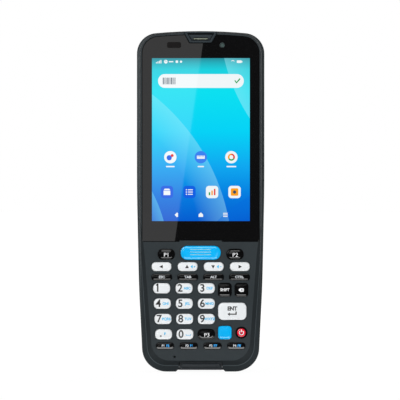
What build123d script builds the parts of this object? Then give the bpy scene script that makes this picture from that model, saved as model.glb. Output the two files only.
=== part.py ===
from build123d import *
import os
from math import atan, cos, radians, sin, sqrt, tan

os.makedirs("parts", exist_ok=True)

# Handheld barcode data terminal, in millimetres.
# It stands on its bottom end: +Z runs to the top end, the display and keys face -Y, +X is to the user's right.
# The origin lies on the bottom face, under the middle of the case.

# ---- Case -----------------------------------------------------------------------------------------------
CASE_HEIGHT = 182.3
CASE_HALF_WIDTH = 34.15
FRONT_FACE = -12.0
BACK_FACE = 12.0
PARTING = -3.0
FRONT_WALL = 2.0
SIDE_WALL = 1.8
CROWN_RADIUS = 260.0
TOP_CORNER = 11.0
BOTTOM_CORNER = 12.4
BACK_ROUND = 5.0
FLANK_BREAK = 0.8
FOOT_INSET = 3.35
WAIST_INSET = 1.05
WAIST_HEIGHT = 46.0
SHOULDER_HEIGHT = 97.0
SIDE_BLEND_REACH = 10.0
RIM_STEP = 1.45
RIM_STEP_WAIST = 1.0
RIM_STEP_FOOT = 0.5
BACK_WALL = 2.0
ROOM_SETBACK = 1.0
LOWER_ROOM_TOP = 13.0
UPPER_ROOM_BOTTOM = 107.0
FLANK_BREAK_START = 14.0
TOP_STEP = 0.5
HEIGHT_TOLERANCE = 0.01

# Keypad panel: the flat face is bounded by two creases, at these distances inside the rim.
BEVEL_DEPTH = 3.4
BEVEL_BREAK = 1.4
PANEL_FOOT = 6.0
BREAK_FOOT = 3.5
PANEL_FOOT_INSET = 4.7
PANEL_WAIST_INSET = 2.4
BREAK_FOOT_INSET = 2.5
BREAK_WAIST_INSET = 0.4
PANEL_WAIST_DROP = 9.6
PANEL_SIDE_RISE = 10.4
PANEL_CORNER = 10.0
PANEL_BLEND_REACH = 0.7
PANEL_RIM = 0.8
BREAK_RIM = 0.4

# ---- Display ----------------------------------------------------------------------------------------------
GLASS_INSET = 1.4
GLASS_DROP = 1.7
GLASS_FOOT_GAP = 0.6
GLASS_THICKNESS = 1.1
GLASS_GAP = 0.15
GLASS_CORNER_STEP = 1.5
GLASS_FOOT_CORNER = 1.2
GLASS_NOTCH_WIDTH = 23.0
GLASS_NOTCH_HEIGHT = 0.7
LCD_SIDE = 3.1
LCD_HEAD = 8.9
LCD_FOOT = 5.6
LCD_THICKNESS = 3.5
LCD_GAP = 0.3
LCD_RIM = 1.6
LCD_RIM_DEPTH = 0.4
GLASS_CHAMFER = 0.2

# ---- Earpiece and front camera ------------------------------------------------------------------------------
BEZEL_TOP_HALF = 9.4
BEZEL_FOOT_HALF = 5.8
BEZEL_HEIGHT = 6.0
BEZEL_THICKNESS = 2.6
BEZEL_GAP = 0.22
BEZEL_CORNER = 0.8
BEZEL_RECESS_TOP_HALF = 7.3
BEZEL_RECESS_FOOT_HALF = 4.9
BEZEL_RECESS_SILL = 1.1
BEZEL_RECESS_DROP = 0.95
BEZEL_RECESS_DEPTH = 0.6
RECEIVER_WIDTH = 8.2
RECEIVER_HEIGHT = 1.4
RECEIVER_RISE = 2.1
SPEAKER_WIDTH = 12.0
SPEAKER_HEIGHT = 5.0
SPEAKER_THICKNESS = 2.4
SPEAKER_DROP = 0.6
CAMERA_X = 11.6
CAMERA_DROP = 5.7
CAMERA_BARREL_RADIUS = 2.3
CAMERA_LENS_RADIUS = 1.2
CAMERA_CONE = 30.0
CAMERA_CONE_DEPTH = 0.6
CAMERA_BASE = 6.0
CAMERA_BASE_THICKNESS = 2.6
CAMERA_GAP = 0.2

# ---- Keypad -------------------------------------------------------------------------------------------------
KEY_PROUD = 1.0
CORNER_FLATS = 4
KEY_GAP = 0.22
KEY_CHAMFER = 0.35
KEY_TRAVEL = 0.5
KEY_FLANGE = 0.8
KEY_FLANGE_MARGIN = 0.42
KEY_SLACK = 0.05
PLUNGER = 2.0
PLUNGER_GAP = 0.3
MAT_THICKNESS = 0.8
MAT_SKIRT = 1.4
MAT_SKIRT_WIDTH = 1.0
DOME_HEIGHT = 0.45
DOME_RADIUS = 1.9
DOME_SIDES = 6
BOARD_THICKNESS = 1.0
KEYPAD_BOTTOM = 9.6
KEYPAD_HEAD = 1.7
KEYPAD_STEP = 1.6
KEYPAD_FIT = 0.2

# Keys: a row's ends lie at an inset from the case's sides, and its gaps share out the width between them.
PROGRAM_INSET = 11.35
PROGRAM_WIDTH = 8.9
PROGRAM_HEIGHT = 5.5
PROGRAM_CORNER = 2.5
PROGRAM_GAP = 3.25
PROGRAM_DROP = 0.8
SCAN_HEIGHT = 7.4
SCAN_CORNER = 3.45
ARROW_INSET = 8.03
ARROW_HEIGHT = 4.7
ARROW_CORNER = 2.1
ARROW_GAP = 3.48
CONTROL_INSET = 8.03
CONTROL_HEIGHT = 3.3
CONTROL_CORNER = 1.45
CONTROL_GAP = 3.02
FUNCTION_INSET = 10.4
FUNCTION_HEIGHT = 3.4
FUNCTION_CORNER = 1.5
FUNCTION_GAP = 3.3
DIGIT_INSET = 8.85
DIGIT_HEIGHT = 5.45
DIGIT_CORNER = 2.25
DIGIT_GAP = 2.95
DIGIT_GAP_TAPER = 0.175
SQUARE_INSET = 8.85
SQUARE_WIDTH = 7.0
SQUARE_HEIGHT = 7.2
SQUARE_CORNER = 1.6
SQUARE_GAP = 1.9
SQUARE_DROP = 0.9
ENTER_INSET = 9.75
ENTER_HEIGHT = 9.15
ENTER_CORNER = 2.6
ENTER_GAP = 1.85
SHIFTER_WIDTH = 7.1
SHIFTER_HEIGHT = 7.1
SHIFTER_CORNER = 1.7
SHIFTER_RISE = 0.9
POWER_INSET = 9.4
POWER_WIDTH = 6.0
POWER_CORNER = 2.75

# Clear heights between the keypad's rows, from the bottom row up.
FUNCTION_ROW_RISE = 2.5
DIGIT_ROW_RISE = 1.78
DIGIT_ROW_GAP = 2.75
CONTROL_ROW_RISE = 1.52
ARROW_ROW_RISE = 1.65
SCAN_ROW_RISE = 1.35
SCAN_RIDGES = 4
SCAN_RIDGE_PITCH = 1.2
SCAN_RIDGE_LENGTH = 12.0
SCAN_RIDGE_WIDTH = 0.5
SCAN_RIDGE_DEPTH = 0.25
POWER_RING_STEP = 0.4
POWER_CENTRE_RADIUS = 2.35
MICROPHONE_X = -13.9
MICROPHONE_Z = 8.0
MICROPHONE_RADIUS = 0.6

# ---- Boards ---------------------------------------------------------------------------------------------------
MAIN_BOARD_SETBACK = 0.6
MAIN_BOARD_THICKNESS = 1.2
MAIN_BOARD_BOTTOM = 6.0
MAIN_BOARD_DROP = 6.3
MAIN_BOARD_FIT = 0.4
BOARD_POSTS = ((-22.0, 40.0), (22.0, 40.0), (-22.0, 90.0), (22.0, 90.0))
POST_WIDTH = 3.6
CAN_HEIGHT = 2.2
CAN_SIZES = ((22.0, 26.0, -13.0, 96.0), (20.0, 20.0, 13.0, 96.0), (26.0, 18.0, -10.0, 128.0))

# ---- Battery and its door -----------------------------------------------------------------------------------------
BAY_FLOOR_WALL = 1.2
BATTERY_INSET = 9.15
BATTERY_BOTTOM = 26.4
BATTERY_TOP = 103.0
BATTERY_THICKNESS = 8.2
BATTERY_GAP = 0.4
BATTERY_CORNER = 2.5
DOOR_SINK = 1.0
DOOR_THICKNESS = 2.0
DOOR_BOTTOM_INSET = 5.0
DOOR_TOP_INSET = 5.85
DOOR_TOP = 107.6
DOOR_GAP = 0.3
DOOR_BACK_GAP = 0.1
DOOR_CORNER = 4.0
DOOR_EDGE_CHAMFER = 0.6
DOOR_HINGE_SINK = 2.4
DOOR_HINGE_Z = 19.6
DOOR_BARREL_RADIUS = 2.0
DOOR_BARREL_SETBACK = 0.3
DOOR_SWING_GAP = 0.3
PIN_RADIUS = 0.8
PIN_GAP = 0.06
PIN_SEAT = 2.0
LIP_HALF = 6.0
LIP_LENGTH = 3.2
LIP_THICKNESS = 0.8
LATCH_TRAVEL = 3.0
LATCH_BASE_HALF = 8.6
LATCH_PAD_HALF = 6.4
LATCH_TONGUE_HALF = 5.0
LATCH_LENGTH = 6.0
LATCH_BASE_THICKNESS = 0.9
LATCH_GAP = 0.15
LATCH_FLOOR_SINK = 1.65
LATCH_TONGUE = 3.2
LATCH_SLOT_LENGTH = 9.5
LATCH_BLOCK_TOP = 119.5
LATCH_BLOCK_DEPTH = 1.2
LATCH_RIDGES = 4
LATCH_RIDGE_PITCH = 1.2
LATCH_RIDGE_DEPTH = 0.3
CONTACT_BLOCK = (14.0, 3.4, 2.4)
CONTACT_FINGER = (1.2, 2.0)
CONTACT_PITCH = 2.8
CONTACT_COUNT = 4
CONTACT_LIFT = 1.2

# ---- Side triggers ---------------------------------------------------------------------------------------------
TRIGGER_LENGTH = 26.0
TRIGGER_WIDTH = 6.0
TRIGGER_CORNER = 2.4
TRIGGER_Y = 2.8
TRIGGER_Z = 130.0
TRIGGER_GAP = 0.25
TRIGGER_FLANGE = 0.8
TRIGGER_FLANGE_MARGIN = 0.9
TRIGGER_TRAVEL = 0.5
TRIGGER_GROOVES = 5
TRIGGER_GROOVE_PITCH = 3.6
TRIGGER_GROOVE_WIDTH = 0.8
TRIGGER_GROOVE_DEPTH = 0.35
SWITCH_LENGTH = 7.0
SWITCH_DEPTH = 2.6
SWITCH_NUB = 0.6
SWITCH_NUB_RADIUS = 1.3

# ---- Top end: scanner ---------------------------------------------------------------------------------------------
ENGINE_WIDTH = 21.5
ENGINE_HEIGHT = 13.0
ENGINE_DEPTH = 9.0
ENGINE_GAP = 1.2
ENGINE_LENS_RADIUS = 2.6
ENGINE_LENS_DEPTH = 1.5
ENGINE_LENS_X = 5.0
WINDOW_WIDTH = 22.0
WINDOW_DEPTH = 8.4
WINDOW_THICKNESS = 1.6
WINDOW_RECESS = 0.5
WINDOW_GAP = 0.1
WINDOW_LEDGE = 1.2
WINDOW_FRAME = 2.4

# ---- Back: camera, loudspeaker, screws -------------------------------------------------------------------------------
REAR_CAMERA_RADIUS = 4.4
REAR_CAMERA_PROUD = 0.5
REAR_CAMERA_LENS_RADIUS = 2.2
REAR_CAMERA_BODY = 8.5
REAR_CAMERA_DEPTH = 5.5
LAMP_X = 10.0
LAMP_RADIUS = 1.8
LAMP_MARGIN = 3.6
REAR_LENS_GAP = 0.1
LOUDSPEAKER_WIDTH = 20.0
LOUDSPEAKER_HEIGHT = 13.0
LOUDSPEAKER_THICKNESS = 4.0
LOUDSPEAKER_RISE = 4.0
GRILLE_SLOTS = 5
GRILLE_PITCH = 2.2
GRILLE_LENGTH = 12.0
GRILLE_WIDTH = 1.0
UPPER_SCREW_INSET = 7.15
UPPER_SCREW_DROP = 16.3
LOWER_SCREW_X = 20.0
LOWER_SCREW_Z = 6.6
SCREW_RADIUS = 1.0
SCREW_HEAD_RADIUS = 1.9
SCREW_HEAD_HEIGHT = 1.5
SCREW_HEAD_SINK = 1.2
SCREW_SOCKET_RADIUS = 1.0
SOCKET_SIDES = 6
SCREW_SOCKET_DEPTH = 0.7
SCREW_END_GAP = 0.4
BOSS_WIDTH = 5.2
BOSS_GAP = 0.3
SCREW_GAP = 0.08
HOLE_SIDES = 8

# ---- Bottom end: port and its door -------------------------------------------------------------------------------------
PORT_DOOR_HALF = 11.4
PORT_RECESS_HALF = 11.75
PORT_RECESS_CHAMFER = 1.45
PORT_DOOR_FACE = 0.9
PORT_DOOR_THICKNESS = 1.5
PORT_DOOR_SINK = 2.4
PORT_LEAF_THICKNESS = 1.6
PORT_LEAF_TOP = 5.1
PORT_LIP_BOTTOM = 2.2
PORT_LIP_TOP = 4.5
PORT_LIP_HALF = 10.7
PORT_LIP_PROUD = 1.3
PORT_LIP_EDGE = 0.6
PORT_GAP = 0.3
PORT_END_GAP = 0.7
PORT_LEAF_CORNER = 0.9
PORT_PLUG = (8.2, 2.4, 0.4)
PORT_HINGE_Y = 6.6
PORT_HINGE_Z = 2.2
PORT_BARREL_RADIUS = 1.3
PORT_PIN_RADIUS = 0.5
PORT_FLOOR_WALL = 1.7
USB_WIDTH = 8.94
USB_HEIGHT = 3.2
USB_LENGTH = 7.3
USB_WALL = 0.3
USB_GAP = 0.2
USB_TONGUE = (6.7, 0.7, 4.5)
USB_BOTTOM = 3.2
CRADLE_PAD = (1.6, 3.2, 1.9)
CRADLE_PITCH = 2.4
CRADLE_X = 15.9
CRADLE_Y = 1.0
CRADLE_SINK = 0.3

# ---- Outline sizes and rows worked out from the sizes above ---------------------------------------------------------
FOOT_HALF_WIDTH = CASE_HALF_WIDTH - FOOT_INSET
WAIST_HALF_WIDTH = CASE_HALF_WIDTH - WAIST_INSET
RIM_HALF = CASE_HALF_WIDTH - RIM_STEP
RIM_WAIST = WAIST_HALF_WIDTH - RIM_STEP_WAIST
RIM_FOOT = FOOT_HALF_WIDTH - RIM_STEP_FOOT
RIM_TOP = CASE_HEIGHT - TOP_STEP
ROW_FUNCTION = KEYPAD_BOTTOM + FUNCTION_ROW_RISE + FUNCTION_HEIGHT / 2
ROW_LAST_DIGITS = ROW_FUNCTION + FUNCTION_HEIGHT / 2 + DIGIT_ROW_RISE + DIGIT_HEIGHT / 2
DIGIT_ROW_PITCH = DIGIT_HEIGHT + DIGIT_ROW_GAP
ROW_DIGITS = [ROW_LAST_DIGITS + step * DIGIT_ROW_PITCH for step in (3, 2, 1, 0)]
ROW_ENTER = (ROW_DIGITS[1] + ROW_DIGITS[2]) / 2
ROW_CONTROL = ROW_DIGITS[0] + DIGIT_HEIGHT / 2 + CONTROL_ROW_RISE + CONTROL_HEIGHT / 2
ROW_ARROWS = ROW_CONTROL + CONTROL_HEIGHT / 2 + ARROW_ROW_RISE + ARROW_HEIGHT / 2
ROW_SCAN = ROW_ARROWS + ARROW_HEIGHT / 2 + SCAN_ROW_RISE + SCAN_HEIGHT / 2
KEYPAD_TOP = ROW_SCAN + SCAN_HEIGHT / 2 + KEYPAD_HEAD
GLASS_HALF_WIDTH = RIM_HALF - GLASS_INSET
GLASS_BOTTOM = KEYPAD_TOP + GLASS_FOOT_GAP
GLASS_TOP = RIM_TOP - GLASS_DROP
GLASS_CORNER = TOP_CORNER - TOP_STEP - GLASS_CORNER_STEP
PANEL_WAIST_HEIGHT = GLASS_BOTTOM - PANEL_WAIST_DROP
PANEL_SIDE_HEIGHT = GLASS_BOTTOM + PANEL_SIDE_RISE


def level(y):
    """Plane across the case at depth y: local x is X, local y is Z, and it faces the user."""
    return Plane.XZ.offset(-y)


def sag(half_width):
    """Drop of the crowned top edge at a distance from the middle."""
    return CROWN_RADIUS - sqrt(CROWN_RADIUS**2 - half_width**2)


def soft_corners(width, height, corner):
    """Points of a rectangle whose corners are rounded in a few even flats."""
    points = []
    for quarter, (x_sign, y_sign) in enumerate(((1, 1), (-1, 1), (-1, -1), (1, -1))):
        for step in range(CORNER_FLATS + 1):
            angle = radians(90 * (quarter + step / CORNER_FLATS))
            points.append((x_sign * (width / 2 - corner) + corner * cos(angle),
                           y_sign * (height / 2 - corner) + corner * sin(angle)))
    return points


def at_height(sketch_vertices, height):
    return sketch_vertices.filter_by_position(Axis.Y, height - HEIGHT_TOLERANCE, height + HEIGHT_TOLERANCE)


def case_outline(bottom, top, foot, waist, side, waist_height, side_height, foot_corner, blend_reach,
                 top_corner):
    """Outline that widens from the foot over the waist to parallel sides under a crowned top."""
    shoulder = top - sag(side)
    foot_slope = atan((waist - foot) / (waist_height - bottom))
    waist_slope = atan((side - waist) / (side_height - waist_height))
    waist_blend = blend_reach / tan(abs(foot_slope - waist_slope) / 2)
    side_blend = blend_reach / tan(abs(waist_slope) / 2)
    with BuildSketch() as outline:
        with BuildLine():
            Polyline((-side, shoulder), (-side, side_height), (-waist, waist_height), (-foot, bottom),
                     (foot, bottom), (waist, waist_height), (side, side_height), (side, shoulder))
            ThreePointArc((side, shoulder), (0, top), (-side, shoulder))
        make_face()
        fillet(at_height(outline.vertices(), bottom), foot_corner)
        fillet(at_height(outline.vertices(), waist_height), waist_blend)
        fillet(at_height(outline.vertices(), side_height), side_blend)
        fillet(at_height(outline.vertices(), shoulder), top_corner)
    return outline.sketch


def trapezoid(bottom, top, bottom_half, top_half):
    with BuildSketch() as shape:
        with BuildLine():
            Polyline((-bottom_half, bottom), (bottom_half, bottom), (top_half, top), (-top_half, top),
                     close=True)
        make_face()
    return shape.sketch


def glass_outline(gap):
    """Cover glass: straight sides, crowned top, a low step in the foot and a notch for the earpiece."""
    side = GLASS_HALF_WIDTH + gap
    bottom = GLASS_BOTTOM - gap
    top = GLASS_TOP + gap
    shoulder = top - sag(side)
    with BuildSketch() as outline:
        with BuildLine():
            Polyline((-side, shoulder), (-side, bottom), (side, bottom), (side, shoulder))
            ThreePointArc((side, shoulder), (0, top), (-side, shoulder))
        make_face()
        fillet(at_height(outline.vertices(), bottom), GLASS_FOOT_CORNER)
        fillet(at_height(outline.vertices(), shoulder), GLASS_CORNER)
        with Locations((0, GLASS_BOTTOM)):
            Rectangle(GLASS_NOTCH_WIDTH - 2 * gap, 2 * (GLASS_NOTCH_HEIGHT - gap), mode=Mode.SUBTRACT)
    return outline.sketch


def clipped(outline, bottom, top):
    """The part of an outline between two heights."""
    with BuildSketch() as band:
        add(outline)
        with Locations((0, (bottom + top) / 2)):
            Rectangle(4 * CASE_HALF_WIDTH, top - bottom, mode=Mode.INTERSECT)
    return band.sketch


def inset_outline(outline, distance):
    with BuildSketch() as smaller:
        add(outline)
        offset(amount=-distance)
    return smaller.sketch


rear_outline = case_outline(0, CASE_HEIGHT, FOOT_HALF_WIDTH, WAIST_HALF_WIDTH, CASE_HALF_WIDTH, WAIST_HEIGHT,
                            SHOULDER_HEIGHT, BOTTOM_CORNER, SIDE_BLEND_REACH, TOP_CORNER)
front_outline = case_outline(0, RIM_TOP, RIM_FOOT, RIM_WAIST, RIM_HALF, WAIST_HEIGHT, SHOULDER_HEIGHT,
                             BOTTOM_CORNER, SIDE_BLEND_REACH, TOP_CORNER - TOP_STEP)
break_outline = case_outline(BREAK_FOOT, RIM_TOP - BREAK_RIM, RIM_FOOT - BREAK_FOOT_INSET,
                             RIM_WAIST - BREAK_WAIST_INSET, RIM_HALF - BREAK_RIM, PANEL_WAIST_HEIGHT,
                             PANEL_SIDE_HEIGHT, PANEL_CORNER, PANEL_BLEND_REACH,
                             TOP_CORNER - TOP_STEP - BREAK_RIM)
panel_outline = case_outline(PANEL_FOOT, RIM_TOP - PANEL_RIM, RIM_FOOT - PANEL_FOOT_INSET,
                             RIM_WAIST - PANEL_WAIST_INSET, RIM_HALF - PANEL_RIM, PANEL_WAIST_HEIGHT,
                             PANEL_SIDE_HEIGHT, PANEL_CORNER, PANEL_BLEND_REACH,
                             TOP_CORNER - TOP_STEP - PANEL_RIM)
keypad_pocket = clipped(inset_outline(front_outline, SIDE_WALL + KEYPAD_STEP), KEYPAD_BOTTOM, KEYPAD_TOP)

# ---- Levels and places worked out from the sizes above --------------------------------------------------------
WALL_BACK = FRONT_FACE + FRONT_WALL
GLASS_SEAT = FRONT_FACE + GLASS_THICKNESS
KEY_FACE = FRONT_FACE - KEY_PROUD
FLANGE_FRONT = WALL_BACK + KEY_SLACK
FLANGE_BACK = FLANGE_FRONT + KEY_FLANGE
MAT_FRONT = FLANGE_BACK + KEY_TRAVEL + KEY_SLACK
MAT_BACK = MAT_FRONT + MAT_THICKNESS
BOARD_FRONT = MAT_BACK + MAT_SKIRT
PLUNGER_TIP = BOARD_FRONT - DOME_HEIGHT - KEY_TRAVEL - KEY_SLACK
LCD_WIDTH = 2 * (GLASS_HALF_WIDTH - LCD_SIDE)
LCD_HEIGHT = GLASS_TOP - LCD_HEAD - GLASS_BOTTOM - LCD_FOOT
LCD_MIDDLE = GLASS_BOTTOM + LCD_FOOT + LCD_HEIGHT / 2
BEZEL_BACK = FRONT_FACE + BEZEL_THICKNESS
BEZEL_FOOT = RIM_TOP - BEZEL_HEIGHT
BEZEL_RECESS_FOOT = BEZEL_FOOT + BEZEL_RECESS_SILL
BEZEL_RECESS_TOP = RIM_TOP - BEZEL_RECESS_DROP
RECEIVER_MIDDLE = BEZEL_FOOT + RECEIVER_RISE
SPEAKER_MIDDLE = RECEIVER_MIDDLE - SPEAKER_DROP
CAMERA_Z = GLASS_TOP - CAMERA_DROP
MAIN_BOARD_FRONT = PARTING + MAIN_BOARD_SETBACK
MAIN_BOARD_BACK = MAIN_BOARD_FRONT + MAIN_BOARD_THICKNESS
MAIN_BOARD_TOP = CASE_HEIGHT - MAIN_BOARD_DROP
DOOR_INNER_FACE = BACK_FACE - DOOR_SINK
BATTERY_WIDTH = 2 * (CASE_HALF_WIDTH - BATTERY_INSET)
BAY_FLOOR = DOOR_INNER_FACE - BATTERY_GAP - BATTERY_THICKNESS
BAY_FRONT = BAY_FLOOR - BAY_FLOOR_WALL
BAY_HALF = BATTERY_WIDTH / 2 + BATTERY_GAP
BAY_BOTTOM = BATTERY_BOTTOM - BATTERY_GAP
BAY_TOP = BATTERY_TOP + BATTERY_GAP
BACK_WALL_IN = BACK_FACE - BACK_WALL
ROOM_STEP = BACK_FACE - BACK_ROUND
DOOR_OUTER_FACE = DOOR_INNER_FACE + DOOR_THICKNESS
DOOR_HINGE_Y = BACK_FACE - DOOR_HINGE_SINK
DOOR_BOTTOM_HALF = FOOT_HALF_WIDTH - DOOR_BOTTOM_INSET
DOOR_TOP_HALF = CASE_HALF_WIDTH - DOOR_TOP_INSET
DOOR_REACH = DOOR_OUTER_FACE - DOOR_HINGE_Y
DOOR_BARREL_HALF = DOOR_BOTTOM_HALF - DOOR_BARREL_SETBACK
DOOR_GROOVE_HALF = DOOR_BOTTOM_HALF + 2 * DOOR_GAP
PIN_HALF = DOOR_GROOVE_HALF + PIN_SEAT
LATCH_BOTTOM = DOOR_TOP + DOOR_GAP + LATCH_TRAVEL + 2 * LATCH_GAP
LATCH_FLOOR = BACK_FACE - LATCH_FLOOR_SINK
LATCH_BACK = LATCH_FLOOR + LATCH_GAP
LATCH_RAIL = LATCH_BACK + LATCH_BASE_THICKNESS + LATCH_GAP
TRIGGER_WALL = CASE_HALF_WIDTH - SIDE_WALL
TRIGGER_FLANGE_IN = TRIGGER_WALL - KEY_SLACK - TRIGGER_FLANGE
SWITCH_TIP = TRIGGER_FLANGE_IN - TRIGGER_TRAVEL - KEY_SLACK
SCREW_SEAT = BACK_FACE - SCREW_HEAD_SINK - SCREW_HEAD_HEIGHT
SCREW_HOLE_END = BOARD_FRONT + BOSS_GAP
SCREW_LENGTH = SCREW_SEAT - SCREW_HOLE_END - SCREW_END_GAP
PORT_DOOR_FRONT = FRONT_FACE + PORT_DOOR_SINK
PORT_CEILING = PORT_DOOR_FACE + PORT_DOOR_THICKNESS + PORT_GAP
PORT_BLOCK_TOP = PORT_CEILING + PORT_FLOOR_WALL
PORT_BLOCK_HALF = PORT_RECESS_HALF + PORT_FLOOR_WALL
PORT_RECESS_END = PORT_HINGE_Y + PORT_BARREL_RADIUS + PORT_END_GAP
PORT_WALL_Y = PORT_DOOR_FRONT + PORT_LEAF_THICKNESS + PORT_GAP
USB_Y = MAIN_BOARD_BACK + USB_HEIGHT / 2
ENGINE_Y = MAIN_BOARD_BACK + ENGINE_DEPTH / 2
WINDOW_TOP = CASE_HEIGHT - sag(WINDOW_WIDTH / 2) - WINDOW_RECESS
WINDOW_SEAT = WINDOW_TOP - WINDOW_THICKNESS
ENGINE_TOP = WINDOW_SEAT - WINDOW_LEDGE - ENGINE_GAP
LOUDSPEAKER_Z = LATCH_BLOCK_TOP + LOUDSPEAKER_RISE + LOUDSPEAKER_HEIGHT / 2
REAR_CAMERA_Z = (LOUDSPEAKER_Z + LOUDSPEAKER_HEIGHT / 2 + ENGINE_TOP - ENGINE_HEIGHT) / 2
BOTH_SIDES = (-1, 1)
SCREW_POINTS = ((CASE_HALF_WIDTH - UPPER_SCREW_INSET, CASE_HEIGHT - UPPER_SCREW_DROP),
                (LOWER_SCREW_X, LOWER_SCREW_Z))
SCREW_PLACES = [(side * x, z) for side in BOTH_SIDES for x, z in SCREW_POINTS]

# ---- Key layout -----------------------------------------------------------------------------------------------
keys = {}


def lay_key(name, left, right, middle, height, corner):
    keys[name] = ((left + right) / 2, middle, (right - left, height, corner))


def lay_row(names, middle, inset, gap, height, corner):
    """Even row of keys between the same inset on both sides."""
    half = CASE_HALF_WIDTH - inset
    width = (2 * half + gap) / len(names) - gap
    for index, name in enumerate(names):
        left = index * (width + gap) - half
        lay_key(name, left, left + width, middle, height, corner)


program_end = CASE_HALF_WIDTH - PROGRAM_INSET
scan_half = program_end - PROGRAM_WIDTH - PROGRAM_GAP
program_row = ROW_SCAN - PROGRAM_DROP
lay_key("key_p1", -program_end, PROGRAM_WIDTH - program_end, program_row, PROGRAM_HEIGHT, PROGRAM_CORNER)
lay_key("key_scan", -scan_half, scan_half, ROW_SCAN, SCAN_HEIGHT, SCAN_CORNER)
lay_key("key_p2", program_end - PROGRAM_WIDTH, program_end, program_row, PROGRAM_HEIGHT, PROGRAM_CORNER)
lay_row(("key_left", "key_up", "key_down", "key_right"), ROW_ARROWS, ARROW_INSET, ARROW_GAP, ARROW_HEIGHT,
        ARROW_CORNER)
lay_row(("key_esc", "key_tab", "key_alt", "key_ctrl"), ROW_CONTROL, CONTROL_INSET, CONTROL_GAP,
        CONTROL_HEIGHT, CONTROL_CORNER)

# Digits fill what the two square keys leave of their row, and close up row by row towards the foot.
square_end = CASE_HALF_WIDTH - SQUARE_INSET
digits_start = DIGIT_INSET - CASE_HALF_WIDTH
digits_end = square_end - 2 * (SQUARE_WIDTH + SQUARE_GAP)
digit_width = (digits_end - digits_start - 2 * DIGIT_GAP) / 3
DIGIT_NAMES = (("key_3", "key_2", "key_1"), ("key_6", "key_5", "key_4"), ("key_9", "key_8", "key_7"),
               ("key_p3", "key_0", "key_dot"))
for row, names in enumerate(DIGIT_NAMES):
    pitch = digit_width + DIGIT_GAP - row * DIGIT_GAP_TAPER
    for column, name in enumerate(names):
        right = digits_end - column * pitch
        lay_key(name, right - digit_width, right, ROW_DIGITS[row], DIGIT_HEIGHT, DIGIT_CORNER)

square_row = ROW_DIGITS[0] - SQUARE_DROP
shifter_row = ROW_DIGITS[3] + SHIFTER_RISE
enter_start = digits_end + ENTER_GAP
power_end = CASE_HALF_WIDTH - POWER_INSET
lay_key("key_shift", digits_end + SQUARE_GAP, digits_end + SQUARE_GAP + SQUARE_WIDTH, square_row,
        SQUARE_HEIGHT, SQUARE_CORNER)
lay_key("key_erase", square_end - SQUARE_WIDTH, square_end, square_row, SQUARE_HEIGHT, SQUARE_CORNER)
lay_key("key_enter", enter_start, CASE_HALF_WIDTH - ENTER_INSET, ROW_ENTER, ENTER_HEIGHT, ENTER_CORNER)
lay_key("key_fn", enter_start, enter_start + SHIFTER_WIDTH, shifter_row, SHIFTER_HEIGHT, SHIFTER_CORNER)
lay_key("key_power", power_end - POWER_WIDTH, power_end, shifter_row, POWER_WIDTH, POWER_CORNER)
lay_row(("key_f1", "key_f2", "key_f3", "key_f4"), ROW_FUNCTION, FUNCTION_INSET, FUNCTION_GAP,
        FUNCTION_HEIGHT, FUNCTION_CORNER)
KEY_PLACES = [(x, z) for x, z, size in keys.values()]


def earpiece_outline(gap):
    """Trapezoid that widens towards the top edge of the rim and follows its crown."""
    with BuildSketch() as shape:
        add(trapezoid(BEZEL_FOOT - gap, CASE_HEIGHT, BEZEL_FOOT_HALF + gap, BEZEL_TOP_HALF + gap))
        fillet(at_height(shape.vertices(), BEZEL_FOOT - gap), BEZEL_CORNER)
        add(front_outline, mode=Mode.INTERSECT)
    return shape.sketch


def port_recess_outline():
    """Recess across the bottom end, with chamfered mouth."""
    with BuildSketch() as shape:
        with Locations((0, PORT_CEILING)):
            Rectangle(2 * PORT_RECESS_HALF, PORT_CEILING, align=(Align.CENTER, Align.MAX))
        add(trapezoid(0, PORT_RECESS_CHAMFER, PORT_RECESS_HALF + PORT_RECESS_CHAMFER, PORT_RECESS_HALF))
    return shape.sketch


def blocks_outline():
    """Solid blocks left standing in the tub: screw bosses, the port's block and the scan window's frame."""
    with BuildSketch() as shape:
        with Locations(*SCREW_PLACES):
            Rectangle(BOSS_WIDTH, BOSS_WIDTH)
        Rectangle(2 * PORT_BLOCK_HALF, 2 * PORT_BLOCK_TOP)
        with Locations((0, CASE_HEIGHT)):
            Rectangle(WINDOW_WIDTH + 2 * WINDOW_FRAME, 2 * (CASE_HEIGHT - WINDOW_SEAT + WINDOW_LEDGE))
    return shape.sketch


def shank_holes():
    """Pilot holes of the case screws, in flats around the shank."""
    with BuildSketch() as shape:
        with Locations(*SCREW_PLACES):
            RegularPolygon(SCREW_RADIUS + SCREW_GAP, HOLE_SIDES, major_radius=False)
    return shape.sketch


standing_blocks = blocks_outline()

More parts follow.
